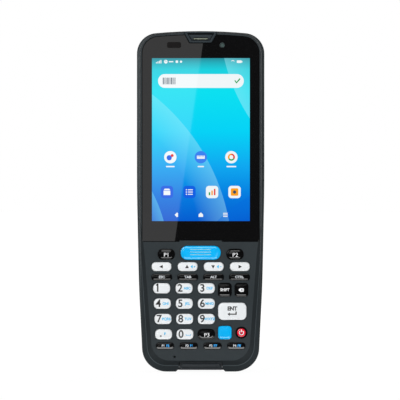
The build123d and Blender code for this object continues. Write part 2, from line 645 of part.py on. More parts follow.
# ==== Front cover: bevelled moulding with the display window, key holes and the port door's recess =============
with BuildPart() as front_cover:
    with BuildSketch(level(PARTING)):
        add(front_outline)
    extrude(amount=PARTING - FRONT_FACE - BEVEL_DEPTH)
    with BuildSketch(level(FRONT_FACE + BEVEL_DEPTH)):
        add(front_outline)
    with BuildSketch(level(FRONT_FACE + BEVEL_BREAK)):
        add(break_outline)
    with BuildSketch(level(FRONT_FACE)):
        add(panel_outline)
    loft(ruled=True)
    # Room behind the boards, then the keypad's pocket, stepped so that the keypad board rests on its edge.
    with BuildSketch(level(PARTING)):
        add(inset_outline(front_outline, SIDE_WALL))
        with Locations(*SCREW_PLACES):
            Rectangle(BOSS_WIDTH, BOSS_WIDTH, mode=Mode.SUBTRACT)
        Rectangle(2 * PORT_BLOCK_HALF, 2 * PORT_BLOCK_TOP, mode=Mode.SUBTRACT)
    extrude(amount=PARTING - BOARD_FRONT, mode=Mode.SUBTRACT)
    with BuildSketch(level(BOARD_FRONT)):
        add(keypad_pocket)
    extrude(amount=BOARD_FRONT - WALL_BACK, mode=Mode.SUBTRACT)
    # Display: the glass lies in a seat, the display drops through the window from behind.
    with BuildSketch(level(GLASS_SEAT)):
        add(glass_outline(GLASS_GAP))
    extrude(amount=2 * GLASS_THICKNESS, mode=Mode.SUBTRACT)
    with BuildSketch(level(BOARD_FRONT)):
        with Locations((0, LCD_MIDDLE)):
            Rectangle(LCD_WIDTH + 2 * LCD_GAP, LCD_HEIGHT + 2 * LCD_GAP)
        with Locations((CAMERA_X, CAMERA_Z)):
            Circle(CAMERA_BARREL_RADIUS + CAMERA_GAP)
    extrude(amount=BOARD_FRONT - GLASS_SEAT, mode=Mode.SUBTRACT)
    with BuildSketch(level(BOARD_FRONT)):
        with Locations((CAMERA_X, CAMERA_Z)):
            Rectangle(CAMERA_BASE + 2 * CAMERA_GAP, CAMERA_BASE + 2 * CAMERA_GAP)
    extrude(amount=CAMERA_BASE_THICKNESS, mode=Mode.SUBTRACT)
    # Earpiece: the bezel's seat is open to the rim, the receiver's pocket meets it from behind.
    with BuildSketch(level(BEZEL_BACK)):
        add(earpiece_outline(BEZEL_GAP))
    extrude(amount=2 * BEZEL_THICKNESS, mode=Mode.SUBTRACT)
    with BuildSketch(level(BOARD_FRONT)):
        with Locations((0, SPEAKER_MIDDLE)):
            Rectangle(SPEAKER_WIDTH + 2 * CAMERA_GAP, SPEAKER_HEIGHT + 2 * CAMERA_GAP)
    extrude(amount=BOARD_FRONT - BEZEL_BACK, mode=Mode.SUBTRACT)
    # Key holes and the microphone hole.
    with BuildSketch(level(WALL_BACK)):
        for x, z, (width, height, corner) in keys.values():
            with Locations((x, z)):
                Polygon(*soft_corners(width + 2 * KEY_GAP, height + 2 * KEY_GAP, corner + KEY_GAP))
    extrude(amount=2 * FRONT_WALL, mode=Mode.SUBTRACT)
    with BuildSketch(level(BOARD_FRONT)):
        with Locations((MICROPHONE_X, MICROPHONE_Z)):
            Circle(MICROPHONE_RADIUS)
    extrude(amount=BOARD_FRONT - KEY_FACE, mode=Mode.SUBTRACT)
    # Recess for the port door, and the holes that take the case screws.
    with BuildSketch(level(PARTING)):
        add(port_recess_outline())
    extrude(amount=PARTING - KEY_FACE, mode=Mode.SUBTRACT)
    with BuildSketch(level(PORT_WALL_Y)) as leaf_recess:
        Rectangle(2 * PORT_RECESS_HALF, 2 * (PORT_LEAF_TOP + PORT_GAP))
        fillet(leaf_recess.vertices(), PORT_LEAF_CORNER + PORT_GAP)
        Rectangle(2 * PORT_RECESS_HALF, 2 * PORT_LEAF_TOP - 2 * PORT_LEAF_CORNER)
    extrude(amount=PORT_WALL_Y - KEY_FACE, mode=Mode.SUBTRACT)
    with BuildSketch(level(PARTING)):
        add(shank_holes())
    extrude(amount=PARTING - SCREW_HOLE_END, mode=Mode.SUBTRACT)
front_cover.part.label = "front_cover"
export_step(front_cover.part, "parts/front_cover.step")


# ==== Battery door: foot rounded about the hinge axis, barrel, and a lip for the latch ===========================
def door_face(gap):
    reach = DOOR_REACH + gap
    with BuildSketch() as face:
        add(trapezoid(DOOR_HINGE_Z - reach, DOOR_TOP + gap, DOOR_BOTTOM_HALF + gap, DOOR_TOP_HALF + gap))
        fillet(at_height(face.vertices(), DOOR_TOP + gap), DOOR_CORNER)
    return face.sketch


def door_blank(gap, back_gap):
    """Door plate, grown by one gap on every edge and by another behind."""
    inner_face = DOOR_INNER_FACE - back_gap
    reach = DOOR_REACH + gap
    with BuildPart() as blank:
        with BuildSketch(Plane.YZ):
            with Locations((DOOR_HINGE_Y, DOOR_HINGE_Z)):
                Circle(reach)
            with Locations((inner_face, DOOR_HINGE_Z)):
                Rectangle(DOOR_OUTER_FACE - inner_face, 2 * reach, align=(Align.MIN, Align.CENTER),
                          mode=Mode.INTERSECT)
                Rectangle(DOOR_OUTER_FACE - inner_face, DOOR_TOP + gap - DOOR_HINGE_Z,
                          align=(Align.MIN, Align.MIN))
        extrude(amount=CASE_HALF_WIDTH, both=True)
        with BuildSketch(level(DOOR_OUTER_FACE)):
            add(door_face(gap))
        extrude(amount=2 * DOOR_THICKNESS, mode=Mode.INTERSECT)
    return blank.part


with BuildPart() as battery_door:
    add(door_blank(0, 0))
    chamfer(battery_door.faces().sort_by(Axis.Y)[-1].edges().sort_by(Axis.Z)[1:], DOOR_EDGE_CHAMFER)
    with BuildSketch(Plane.YZ):
        with Locations((DOOR_HINGE_Y, DOOR_HINGE_Z)):
            Circle(DOOR_BARREL_RADIUS)
            Rectangle(DOOR_INNER_FACE - DOOR_HINGE_Y, 2 * DOOR_BARREL_RADIUS, align=(Align.MIN, Align.CENTER))
    extrude(amount=DOOR_BARREL_HALF, both=True)
    with BuildSketch(Plane.YZ):
        with Locations((DOOR_HINGE_Y, DOOR_HINGE_Z)):
            Circle(PIN_RADIUS + PIN_GAP)
    extrude(amount=DOOR_BARREL_HALF, both=True, mode=Mode.SUBTRACT)
    with BuildSketch(level(DOOR_INNER_FACE + LIP_THICKNESS)):
        with Locations((0, DOOR_TOP)):
            Rectangle(2 * LIP_HALF, 2 * LIP_LENGTH)
    extrude(amount=-DOOR_THICKNESS, mode=Mode.SUBTRACT)
battery_door.part.label = "battery_door"
export_step(battery_door.part, "parts/battery_door.step")

# ==== Battery door latch: base held under two rails, ridged pad, tongue over the door's lip ======================
with BuildPart() as battery_door_latch:
    with BuildSketch(level(LATCH_BACK + LATCH_BASE_THICKNESS)):
        with Locations((0, LATCH_BOTTOM)):
            Rectangle(2 * LATCH_BASE_HALF, LATCH_LENGTH, align=(Align.CENTER, Align.MIN))
    extrude(amount=LATCH_BASE_THICKNESS)
    with BuildSketch(level(DOOR_OUTER_FACE)):
        with Locations((0, LATCH_BOTTOM)):
            Rectangle(2 * LATCH_PAD_HALF, LATCH_LENGTH, align=(Align.CENTER, Align.MIN))
    extrude(amount=DOOR_OUTER_FACE - LATCH_BACK)
    with BuildSketch(level(DOOR_OUTER_FACE)):
        with Locations((0, LATCH_BOTTOM)):
            Rectangle(2 * LATCH_TONGUE_HALF, LATCH_TONGUE, align=(Align.CENTER, Align.MAX))
    extrude(amount=DOOR_OUTER_FACE - DOOR_INNER_FACE - LIP_THICKNESS - LATCH_GAP)
    with BuildSketch(level(DOOR_OUTER_FACE - LATCH_RIDGE_DEPTH)):
        with Locations((0, LATCH_BOTTOM + LATCH_LENGTH / 2)):
            with GridLocations(0, LATCH_RIDGE_PITCH, 1, LATCH_RIDGES):
                Rectangle(2 * LATCH_PAD_HALF, LATCH_RIDGE_PITCH / 2)
    extrude(amount=-DOOR_THICKNESS, mode=Mode.SUBTRACT)
battery_door_latch.part.label = "battery_door_latch"
export_step(battery_door_latch.part, "parts/battery_door_latch.step")

# ==== Rear cover: tub with rounded flanks, battery bay, trigger openings and bottom recess =======================
with BuildPart() as rear_cover:
    with BuildSketch(level(BACK_FACE)):
        add(rear_outline)
    extrude(amount=BACK_FACE - PARTING)
    fillet(rear_cover.faces().sort_by(Axis.Y)[-1].edges(), BACK_ROUND)
    chamfer(rear_cover.faces().sort_by(Axis.Y)[0].edges().filter_by_position(Axis.Z, FLANK_BREAK_START,
                                                                             CASE_HEIGHT), FLANK_BREAK)
    # Room for the main board over the whole length.
    with BuildSketch(level(BAY_FRONT)):
        add(inset_outline(rear_outline, SIDE_WALL))
        add(standing_blocks, mode=Mode.SUBTRACT)
        with Locations(*BOARD_POSTS):
            Rectangle(POST_WIDTH, POST_WIDTH, mode=Mode.SUBTRACT)
    extrude(amount=BAY_FRONT - PARTING, mode=Mode.SUBTRACT)
    with BuildSketch(level(MAIN_BOARD_BACK)):
        with Locations(*BOARD_POSTS):
            Rectangle(POST_WIDTH, POST_WIDTH)
    extrude(amount=MAIN_BOARD_BACK - PARTING, mode=Mode.SUBTRACT)
    # Rooms above and below the battery bay, and cored flanks beside it.
    with BuildSketch(level(ROOM_STEP)):
        add(inset_outline(rear_outline, SIDE_WALL))
        with Locations((0, (LOWER_ROOM_TOP + UPPER_ROOM_BOTTOM) / 2)):
            Rectangle(2 * (BAY_HALF + SIDE_WALL), UPPER_ROOM_BOTTOM - LOWER_ROOM_TOP, mode=Mode.SUBTRACT)
        add(standing_blocks, mode=Mode.SUBTRACT)
    extrude(amount=ROOM_STEP - BAY_FRONT, mode=Mode.SUBTRACT)
    with BuildSketch(level(BACK_WALL_IN)):
        add(inset_outline(rear_outline, SIDE_WALL + ROOM_SETBACK))
        with Locations((0, (LOWER_ROOM_TOP + UPPER_ROOM_BOTTOM) / 2)):
            Rectangle(2 * CASE_HALF_WIDTH, UPPER_ROOM_BOTTOM - LOWER_ROOM_TOP, mode=Mode.SUBTRACT)
        add(standing_blocks, mode=Mode.SUBTRACT)
    extrude(amount=BACK_WALL_IN - ROOM_STEP, mode=Mode.SUBTRACT)
    # Battery bay, the door's recess and the groove for its barrel.
    with BuildSketch(level(BAY_FLOOR)):
        with Locations((0, (BAY_BOTTOM + BAY_TOP) / 2)):
            Polygon(*soft_corners(2 * BAY_HALF, BAY_TOP - BAY_BOTTOM, BATTERY_CORNER))
    extrude(amount=-BACK_FACE, mode=Mode.SUBTRACT)
    add(door_blank(DOOR_GAP, DOOR_BACK_GAP), mode=Mode.SUBTRACT)
    with BuildSketch(Plane.YZ):
        with Locations((DOOR_HINGE_Y, DOOR_HINGE_Z)):
            Circle(DOOR_REACH + DOOR_SWING_GAP)
            Rectangle(DOOR_REACH, DOOR_REACH + DOOR_SWING_GAP, align=(Align.MIN, Align.MAX))
    extrude(amount=DOOR_GROOVE_HALF, both=True, mode=Mode.SUBTRACT)
    with BuildSketch(Plane.YZ):
        with Locations((DOOR_HINGE_Y, DOOR_HINGE_Z)):
            Circle(PIN_RADIUS)
    extrude(amount=PIN_HALF, both=True, mode=Mode.SUBTRACT)
    # Block under the latch, with the latch's slot between its rails.
    with BuildSketch(level(BACK_WALL_IN)):
        with Locations((0, UPPER_ROOM_BOTTOM)):
            Rectangle(2 * LATCH_BASE_HALF + 2 * SIDE_WALL, LATCH_BLOCK_TOP - UPPER_ROOM_BOTTOM,
                      align=(Align.CENTER, Align.MIN))
    extrude(amount=LATCH_BLOCK_DEPTH)
    with BuildSketch(level(LATCH_FLOOR)):
        with Locations((0, DOOR_TOP + DOOR_GAP + LATCH_GAP)):
            Rectangle(2 * (LATCH_BASE_HALF + LATCH_GAP), LATCH_SLOT_LENGTH, align=(Align.CENTER, Align.MIN))
    extrude(amount=LATCH_FLOOR - LATCH_RAIL, mode=Mode.SUBTRACT)
    with BuildSketch(level(LATCH_RAIL)):
        with Locations((0, DOOR_TOP + DOOR_GAP + LATCH_GAP + LATCH_SLOT_LENGTH)):
            Rectangle(2 * (LATCH_PAD_HALF + LATCH_GAP), LATCH_SLOT_LENGTH + DOOR_GAP,
                      align=(Align.CENTER, Align.MAX))
    extrude(amount=-BACK_FACE, mode=Mode.SUBTRACT)
    # Pocket for the battery contacts, at the bay's top end.
    with BuildSketch(level(BAY_FLOOR + CONTACT_LIFT + CONTACT_BLOCK[1])):
        with Locations((0, BAY_TOP)):
            Rectangle(CONTACT_BLOCK[0], CONTACT_BLOCK[2], align=(Align.CENTER, Align.MIN))
    extrude(amount=CONTACT_BLOCK[1], mode=Mode.SUBTRACT)
    # Trigger openings in both flanks.
    with BuildSketch(Plane.YZ):
        with Locations((TRIGGER_Y, TRIGGER_Z)):
            Polygon(*soft_corners(TRIGGER_WIDTH + 2 * TRIGGER_GAP, TRIGGER_LENGTH + 2 * TRIGGER_GAP,
                                  TRIGGER_CORNER + TRIGGER_GAP))
    extrude(amount=2 * CASE_HALF_WIDTH, both=True, mode=Mode.SUBTRACT)
    # Scan window's seat in the top end.
    with BuildSketch(Plane.XY.offset(WINDOW_SEAT)):
        with Locations((0, ENGINE_Y)):
            Rectangle(WINDOW_WIDTH + 2 * WINDOW_GAP, WINDOW_DEPTH + 2 * WINDOW_GAP)
    extrude(amount=CASE_HEIGHT - WINDOW_SEAT, mode=Mode.SUBTRACT)
    with BuildSketch(Plane.XY.offset(WINDOW_SEAT)):
        with Locations((0, ENGINE_Y)):
            Rectangle(WINDOW_WIDTH - 2 * WINDOW_LEDGE, WINDOW_DEPTH - 2 * WINDOW_LEDGE)
    extrude(amount=-2 * WINDOW_LEDGE, mode=Mode.SUBTRACT)
    # Back wall: camera, lamp, loudspeaker slots and screw seats.
    with BuildSketch(level(BACK_WALL_IN)):
        with Locations((0, REAR_CAMERA_Z)):
            Circle(REAR_CAMERA_RADIUS + REAR_LENS_GAP)
        with Locations((LAMP_X, REAR_CAMERA_Z)):
            Circle(LAMP_RADIUS + REAR_LENS_GAP)
        with Locations((0, LOUDSPEAKER_Z)):
            with GridLocations(0, GRILLE_PITCH, 1, GRILLE_SLOTS):
                Rectangle(GRILLE_LENGTH, GRILLE_WIDTH)
    extrude(amount=-BACK_FACE, mode=Mode.SUBTRACT)
    with BuildSketch(level(PARTING)):
        add(shank_holes())
    extrude(amount=PARTING - BACK_FACE, mode=Mode.SUBTRACT)
    with BuildSketch(level(SCREW_SEAT)):
        with Locations(*SCREW_PLACES):
            Circle(SCREW_HEAD_RADIUS + SCREW_GAP)
    extrude(amount=-BACK_FACE, mode=Mode.SUBTRACT)
    # Bottom recess, the groove for the port door's barrel, and the openings of port and cradle pads.
    with BuildSketch(level(PORT_RECESS_END)):
        add(port_recess_outline())
    extrude(amount=PORT_RECESS_END - PARTING, mode=Mode.SUBTRACT)
    with BuildSketch(Plane.YZ):
        with Locations((PORT_HINGE_Y, PORT_HINGE_Z)):
            Circle(PORT_BARREL_RADIUS + PORT_GAP)
    extrude(amount=PORT_RECESS_HALF, both=True, mode=Mode.SUBTRACT)
    with BuildSketch(Plane.YZ):
        with Locations((PORT_HINGE_Y, PORT_HINGE_Z)):
            Circle(PORT_PIN_RADIUS)
    extrude(amount=PORT_BLOCK_HALF - PORT_GAP, both=True, mode=Mode.SUBTRACT)
    with BuildSketch(Plane.XY):
        with Locations((0, USB_Y)):
            Polygon(*soft_corners(USB_WIDTH + 2 * USB_GAP, USB_HEIGHT + 2 * USB_GAP, USB_HEIGHT / 2))
    extrude(amount=PORT_BLOCK_TOP, mode=Mode.SUBTRACT)
    with BuildSketch(Plane.XY):
        for side in BOTH_SIDES:
            with Locations((side * CRADLE_X, CRADLE_Y)):
                with GridLocations(CRADLE_PITCH, 0, 2, 1):
                    Rectangle(CRADLE_PAD[0], CRADLE_PAD[1])
    extrude(amount=SIDE_WALL, mode=Mode.SUBTRACT)
rear_cover.part.label = "rear_cover"
export_step(rear_cover.part, "parts/rear_cover.step")

# ==== Display glass and display module ===========================================================================
with BuildPart() as display_glass:
    with BuildSketch(level(GLASS_SEAT)):
        add(glass_outline(0))
        add(earpiece_outline(BEZEL_GAP), mode=Mode.SUBTRACT)
    extrude(amount=GLASS_THICKNESS)
    chamfer(display_glass.faces().sort_by(Axis.Y)[0].edges(), GLASS_CHAMFER)
display_glass.part.label = "display_glass"
export_step(display_glass.part, "parts/display_glass.step")

with BuildPart() as lcd_module:
    with BuildSketch(level(GLASS_SEAT + LCD_THICKNESS)):
        with Locations((0, LCD_MIDDLE)):
            Rectangle(LCD_WIDTH, LCD_HEIGHT)
    extrude(amount=LCD_THICKNESS)
    with BuildSketch(level(GLASS_SEAT + LCD_THICKNESS)):
        with Locations((0, LCD_MIDDLE)):
            Rectangle(LCD_WIDTH - 2 * LCD_RIM, LCD_HEIGHT - 2 * LCD_RIM)
    extrude(amount=LCD_RIM_DEPTH, mode=Mode.SUBTRACT)
lcd_module.part.label = "lcd_module"
export_step(lcd_module.part, "parts/lcd_module.step")

# ==== Earpiece bezel, its receiver, and the front camera =========================================================
with BuildPart() as earpiece_bezel:
    with BuildSketch(level(BEZEL_BACK)):
        add(earpiece_outline(0))
    extrude(amount=BEZEL_THICKNESS)
    chamfer(earpiece_bezel.faces().sort_by(Axis.Y)[0].edges(), GLASS_CHAMFER)
    with BuildSketch(level(FRONT_FACE + BEZEL_RECESS_DEPTH)):
        add(trapezoid(BEZEL_RECESS_FOOT, BEZEL_RECESS_TOP, BEZEL_RECESS_FOOT_HALF, BEZEL_RECESS_TOP_HALF))
    extrude(amount=BEZEL_THICKNESS, mode=Mode.SUBTRACT)
    with BuildSketch(level(BEZEL_BACK)):
        with Locations((0, RECEIVER_MIDDLE)):
            SlotOverall(RECEIVER_WIDTH, RECEIVER_HEIGHT)
    extrude(amount=BEZEL_THICKNESS, mode=Mode.SUBTRACT)
earpiece_bezel.part.label = "earpiece_bezel"
export_step(earpiece_bezel.part, "parts/earpiece_bezel.step")

with BuildPart() as earpiece_speaker:
    with BuildSketch(level(BEZEL_BACK + SPEAKER_THICKNESS)):
        with Locations((0, SPEAKER_MIDDLE)):
            Rectangle(SPEAKER_WIDTH, SPEAKER_HEIGHT)
    extrude(amount=SPEAKER_THICKNESS)
earpiece_speaker.part.label = "earpiece_speaker"
export_step(earpiece_speaker.part, "parts/earpiece_speaker.step")

with BuildPart() as front_camera:
    with BuildSketch(level(BOARD_FRONT)):
        with Locations((CAMERA_X, CAMERA_Z)):
            Rectangle(CAMERA_BASE, CAMERA_BASE)
    extrude(amount=CAMERA_BASE_THICKNESS)
    with BuildSketch(level(BOARD_FRONT)):
        with Locations((CAMERA_X, CAMERA_Z)):
            Circle(CAMERA_BARREL_RADIUS)
    extrude(amount=BOARD_FRONT - GLASS_SEAT)
    with BuildSketch(level(GLASS_SEAT)):
        with Locations((CAMERA_X, CAMERA_Z)):
            Circle(CAMERA_LENS_RADIUS)
    extrude(amount=-CAMERA_CONE_DEPTH, taper=CAMERA_CONE, mode=Mode.SUBTRACT)
front_camera.part.label = "front_camera"
export_step(front_camera.part, "parts/front_camera.step")


# ==== Keys: cap through the cover, flange behind it, plunger through the mat =====================================
def key_cap(x, z, width, height, corner):
    with BuildPart() as cap:
        with BuildSketch(level(FLANGE_FRONT)):
            with Locations((x, z)):
                Polygon(*soft_corners(width, height, corner))
        extrude(amount=FLANGE_FRONT - KEY_FACE)
        chamfer(cap.faces().sort_by(Axis.Y)[0].edges(), KEY_CHAMFER)
        with BuildSketch(level(FLANGE_BACK)):
            with Locations((x, z)):
                Rectangle(width + 2 * KEY_FLANGE_MARGIN, height + 2 * KEY_FLANGE_MARGIN)
        extrude(amount=KEY_FLANGE)
        with BuildSketch(level(PLUNGER_TIP)):
            with Locations((x, z)):
                Rectangle(PLUNGER, PLUNGER)
        extrude(amount=PLUNGER_TIP - FLANGE_BACK)
    return cap.part


for name, (x, z, (width, height, corner)) in keys.items():
    with BuildPart() as key:
        add(key_cap(x, z, width, height, corner))
        if name == "key_scan":
            with BuildSketch(level(KEY_FACE + SCAN_RIDGE_DEPTH)):
                with Locations((x, z)):
                    with GridLocations(0, SCAN_RIDGE_PITCH, 1, SCAN_RIDGES):
                        Rectangle(SCAN_RIDGE_LENGTH, SCAN_RIDGE_WIDTH)
            extrude(amount=KEY_PROUD, mode=Mode.SUBTRACT)
        if name == "key_power":
            with BuildSketch(level(KEY_FACE + POWER_RING_STEP)):
                with Locations((x, z)):
                    Circle(width)
                    Circle(POWER_CENTRE_RADIUS, mode=Mode.SUBTRACT)
            extrude(amount=KEY_PROUD, mode=Mode.SUBTRACT)
    key.part.label = name
    export_step(key.part, f"parts/{name}.step")

# ==== Keypad mat, snap domes and keypad board =====================================================================
with BuildPart() as keypad_mat:
    with BuildSketch(level(BOARD_FRONT)):
        add(inset_outline(keypad_pocket, KEYPAD_FIT))
    extrude(amount=BOARD_FRONT - MAT_FRONT)
    with BuildSketch(level(BOARD_FRONT)):
        add(inset_outline(keypad_pocket, KEYPAD_FIT + MAT_SKIRT_WIDTH))
    extrude(amount=MAT_SKIRT, mode=Mode.SUBTRACT)
    with BuildSketch(level(MAT_BACK)):
        with Locations(*KEY_PLACES):
            Rectangle(PLUNGER + 2 * PLUNGER_GAP, PLUNGER + 2 * PLUNGER_GAP)
    extrude(amount=MAT_THICKNESS, mode=Mode.SUBTRACT)
keypad_mat.part.label = "keypad_mat"
export_step(keypad_mat.part, "parts/keypad_mat.step")

with BuildPart() as key_domes:
    with BuildSketch(level(BOARD_FRONT)):
        with Locations(*KEY_PLACES):
            RegularPolygon(DOME_RADIUS, DOME_SIDES)
    extrude(amount=DOME_HEIGHT)
key_domes.part.label = "key_domes"
export_step(key_domes.part, "parts/key_domes.step")

with BuildPart() as keypad_board:
    with BuildSketch(level(BOARD_FRONT + BOARD_THICKNESS)):
        add(clipped(inset_outline(front_outline, SIDE_WALL + KEYPAD_FIT), KEYPAD_BOTTOM - KEYPAD_FIT,
                    KEYPAD_TOP + KEYPAD_STEP))
    extrude(amount=BOARD_THICKNESS)
keypad_board.part.label = "keypad_board"
export_step(keypad_board.part, "parts/keypad_board.step")

# ==== Main board and its shield cans ==============================================================================
with BuildPart() as main_board:
    with BuildSketch(level(MAIN_BOARD_BACK)):
        add(clipped(inset_outline(rear_outline, SIDE_WALL + MAIN_BOARD_FIT), MAIN_BOARD_BOTTOM,
                    MAIN_BOARD_TOP))
        with Locations(*SCREW_PLACES):
            Rectangle(BOSS_WIDTH + 2 * BOSS_GAP, BOSS_WIDTH + 2 * BOSS_GAP, mode=Mode.SUBTRACT)
    extrude(amount=MAIN_BOARD_THICKNESS)
main_board.part.label = "main_board"
export_step(main_board.part, "parts/main_board.step")

with BuildPart() as shield_cans:
    with BuildSketch(level(MAIN_BOARD_FRONT)):
        for width, height, x, z in CAN_SIZES:
            with Locations((x, z)):
                Rectangle(width, height)
    extrude(amount=CAN_HEIGHT)
shield_cans.part.label = "shield_cans"
export_step(shield_cans.part, "parts/shield_cans.step")

# ==== Scan engine, its window, side triggers and their switches ====================================================
with BuildPart() as scan_engine:
    with Locations((0, ENGINE_Y, ENGINE_TOP)):
        Box(ENGINE_WIDTH, ENGINE_DEPTH, ENGINE_HEIGHT, align=(Align.CENTER, Align.CENTER, Align.MAX))
    with Locations((-ENGINE_LENS_X, ENGINE_Y, ENGINE_TOP), (ENGINE_LENS_X, ENGINE_Y, ENGINE_TOP)):
        Cylinder(ENGINE_LENS_RADIUS, ENGINE_LENS_DEPTH, align=(Align.CENTER, Align.CENTER, Align.MAX),
                 mode=Mode.SUBTRACT)
scan_engine.part.label = "scan_engine"
export_step(scan_engine.part, "parts/scan_engine.step")

with BuildPart() as scan_window:
    with BuildSketch(Plane.XY.offset(WINDOW_SEAT)):
        with Locations((0, ENGINE_Y)):
            Rectangle(WINDOW_WIDTH, WINDOW_DEPTH)
    extrude(amount=WINDOW_THICKNESS)
scan_window.part.label = "scan_window"
export_step(scan_window.part, "parts/scan_window.step")


def scan_trigger(side):
    """Side trigger: grooved cap through the flank, flange behind it."""
    with BuildPart() as trigger:
        with BuildSketch(Plane.YZ.offset(side * (TRIGGER_WALL - KEY_SLACK))):
            with Locations((TRIGGER_Y, TRIGGER_Z)):
                Polygon(*soft_corners(TRIGGER_WIDTH, TRIGGER_LENGTH, TRIGGER_CORNER))
        extrude(amount=side * (SIDE_WALL + KEY_SLACK))
        with BuildSketch(Plane.YZ.offset(side * (CASE_HALF_WIDTH - TRIGGER_GROOVE_DEPTH))):
            with Locations((TRIGGER_Y, TRIGGER_Z)):
                with GridLocations(0, TRIGGER_GROOVE_PITCH, 1, TRIGGER_GROOVES):
                    Rectangle(TRIGGER_WIDTH, TRIGGER_GROOVE_WIDTH)
        extrude(amount=side * SIDE_WALL, mode=Mode.SUBTRACT)
        with BuildSketch(Plane.YZ.offset(side * TRIGGER_FLANGE_IN)):
            with Locations((TRIGGER_Y, TRIGGER_Z)):
                Rectangle(TRIGGER_WIDTH + 2 * TRIGGER_FLANGE_MARGIN,
                          TRIGGER_LENGTH + 2 * TRIGGER_FLANGE_MARGIN)
        extrude(amount=side * TRIGGER_FLANGE)
    return trigger.part


left_scan_trigger = scan_trigger(-1)
left_scan_trigger.label = "left_scan_trigger"
export_step(left_scan_trigger, "parts/left_scan_trigger.step")

right_scan_trigger = scan_trigger(1)
right_scan_trigger.label = "right_scan_trigger"
export_step(right_scan_trigger, "parts/right_scan_trigger.step")

with BuildPart() as trigger_switches:
    for side in BOTH_SIDES:
        with BuildSketch(level(MAIN_BOARD_BACK)):
            with Locations((side * (SWITCH_TIP - SWITCH_NUB - SWITCH_DEPTH / 2), TRIGGER_Z)):
                Rectangle(SWITCH_DEPTH, SWITCH_LENGTH)
        extrude(amount=-2 * (TRIGGER_Y - MAIN_BOARD_BACK) + SWITCH_NUB_RADIUS)
        with BuildSketch(Plane.YZ.offset(side * SWITCH_TIP)):
            with Locations((TRIGGER_Y, TRIGGER_Z)):
                Circle(SWITCH_NUB_RADIUS)
        extrude(amount=-side * (SWITCH_NUB + SWITCH_DEPTH / 2))
trigger_switches.part.label = "trigger_switches"
export_step(trigger_switches.part, "parts/trigger_switches.step")

# ==== Battery pack and its contacts =================================================================================
with BuildPart() as battery_pack:
    with BuildSketch(level(BAY_FLOOR + BATTERY_THICKNESS)):
        with Locations((0, (BATTERY_BOTTOM + BATTERY_TOP) / 2)):
            Polygon(*soft_corners(BATTERY_WIDTH, BATTERY_TOP - BATTERY_BOTTOM, BATTERY_CORNER))
    extrude(amount=BATTERY_THICKNESS)
    chamfer(battery_pack.faces().sort_by(Axis.Y)[-1].edges(), BATTERY_GAP)
battery_pack.part.label = "battery_pack"
export_step(battery_pack.part, "parts/battery_pack.step")

with BuildPart() as battery_contacts:
    with BuildSketch(level(BAY_FLOOR + CONTACT_LIFT + CONTACT_BLOCK[1])):
        with Locations((0, BAY_TOP)):
            Rectangle(CONTACT_BLOCK[0], CONTACT_BLOCK[2], align=(Align.CENTER, Align.MIN))
    extrude(amount=CONTACT_BLOCK[1])
    with BuildSketch(Plane.XY.offset(BATTERY_TOP)):
        with Locations((0, BAY_FLOOR + CONTACT_LIFT + CONTACT_BLOCK[1] / 2)):
            with GridLocations(CONTACT_PITCH, 0, CONTACT_COUNT, 1):
                Rectangle(CONTACT_FINGER[0], CONTACT_FINGER[1])
    extrude(amount=BATTERY_GAP)
battery_contacts.part.label = "battery_contacts"
export_step(battery_contacts.part, "parts/battery_contacts.step")

# ==== Port door, USB connector and cradle contacts ====================================================================
with BuildPart() as io_door:
    with BuildSketch(Plane.YZ):
        with Locations((PORT_HINGE_Y, PORT_DOOR_FACE)):
            Rectangle(PORT_HINGE_Y - PORT_DOOR_FRONT, PORT_DOOR_THICKNESS, align=(Align.MAX, Align.MIN))
        with Locations((PORT_DOOR_FRONT, PORT_DOOR_FACE)):
            Rectangle(PORT_LEAF_THICKNESS, PORT_LEAF_TOP - PORT_DOOR_FACE, align=(Align.MIN, Align.MIN))
        with Locations((PORT_HINGE_Y, PORT_HINGE_Z)):
            Circle(PORT_BARREL_RADIUS)
            Circle(PORT_PIN_RADIUS + PIN_GAP, mode=Mode.SUBTRACT)
    extrude(amount=PORT_DOOR_HALF, both=True)
    fillet(io_door.edges().filter_by(Axis.Y).group_by(Axis.Z)[-1], PORT_LEAF_CORNER)
    with BuildSketch(level(PORT_DOOR_FRONT)):
        with Locations((0, (PORT_LIP_BOTTOM + PORT_LIP_TOP) / 2)):
            Polygon(*soft_corners(2 * PORT_LIP_HALF, PORT_LIP_TOP - PORT_LIP_BOTTOM, PORT_LEAF_CORNER))
    extrude(amount=PORT_LIP_PROUD)
    chamfer(io_door.faces().sort_by(Axis.Y)[0].edges(), PORT_LIP_EDGE)
    with BuildSketch(Plane.XY.offset(PORT_DOOR_FACE + PORT_DOOR_THICKNESS)):
        with Locations((0, USB_Y)):
            Polygon(*soft_corners(PORT_PLUG[0], PORT_PLUG[1], PORT_PLUG[1] / 2 - PORT_GAP))
    extrude(amount=PORT_PLUG[2])
io_door.part.label = "io_door"
export_step(io_door.part, "parts/io_door.step")

with BuildPart() as usb_connector:
    with BuildSketch(Plane.XY.offset(USB_BOTTOM)):
        with Locations((0, USB_Y)):
            Polygon(*soft_corners(USB_WIDTH, USB_HEIGHT, USB_HEIGHT / 2 - USB_GAP))
    extrude(amount=USB_LENGTH)
    with BuildSketch(Plane.XY.offset(USB_BOTTOM)):
        with Locations((0, USB_Y)):
            Polygon(*soft_corners(USB_WIDTH - 2 * USB_WALL, USB_HEIGHT - 2 * USB_WALL,
                                  USB_HEIGHT / 2 - USB_GAP - USB_WALL))
            Rectangle(USB_TONGUE[0], USB_TONGUE[1], mode=Mode.SUBTRACT)
    extrude(amount=USB_TONGUE[2], mode=Mode.SUBTRACT)
usb_connector.part.label = "usb_connector"
export_step(usb_connector.part, "parts/usb_connector.step")

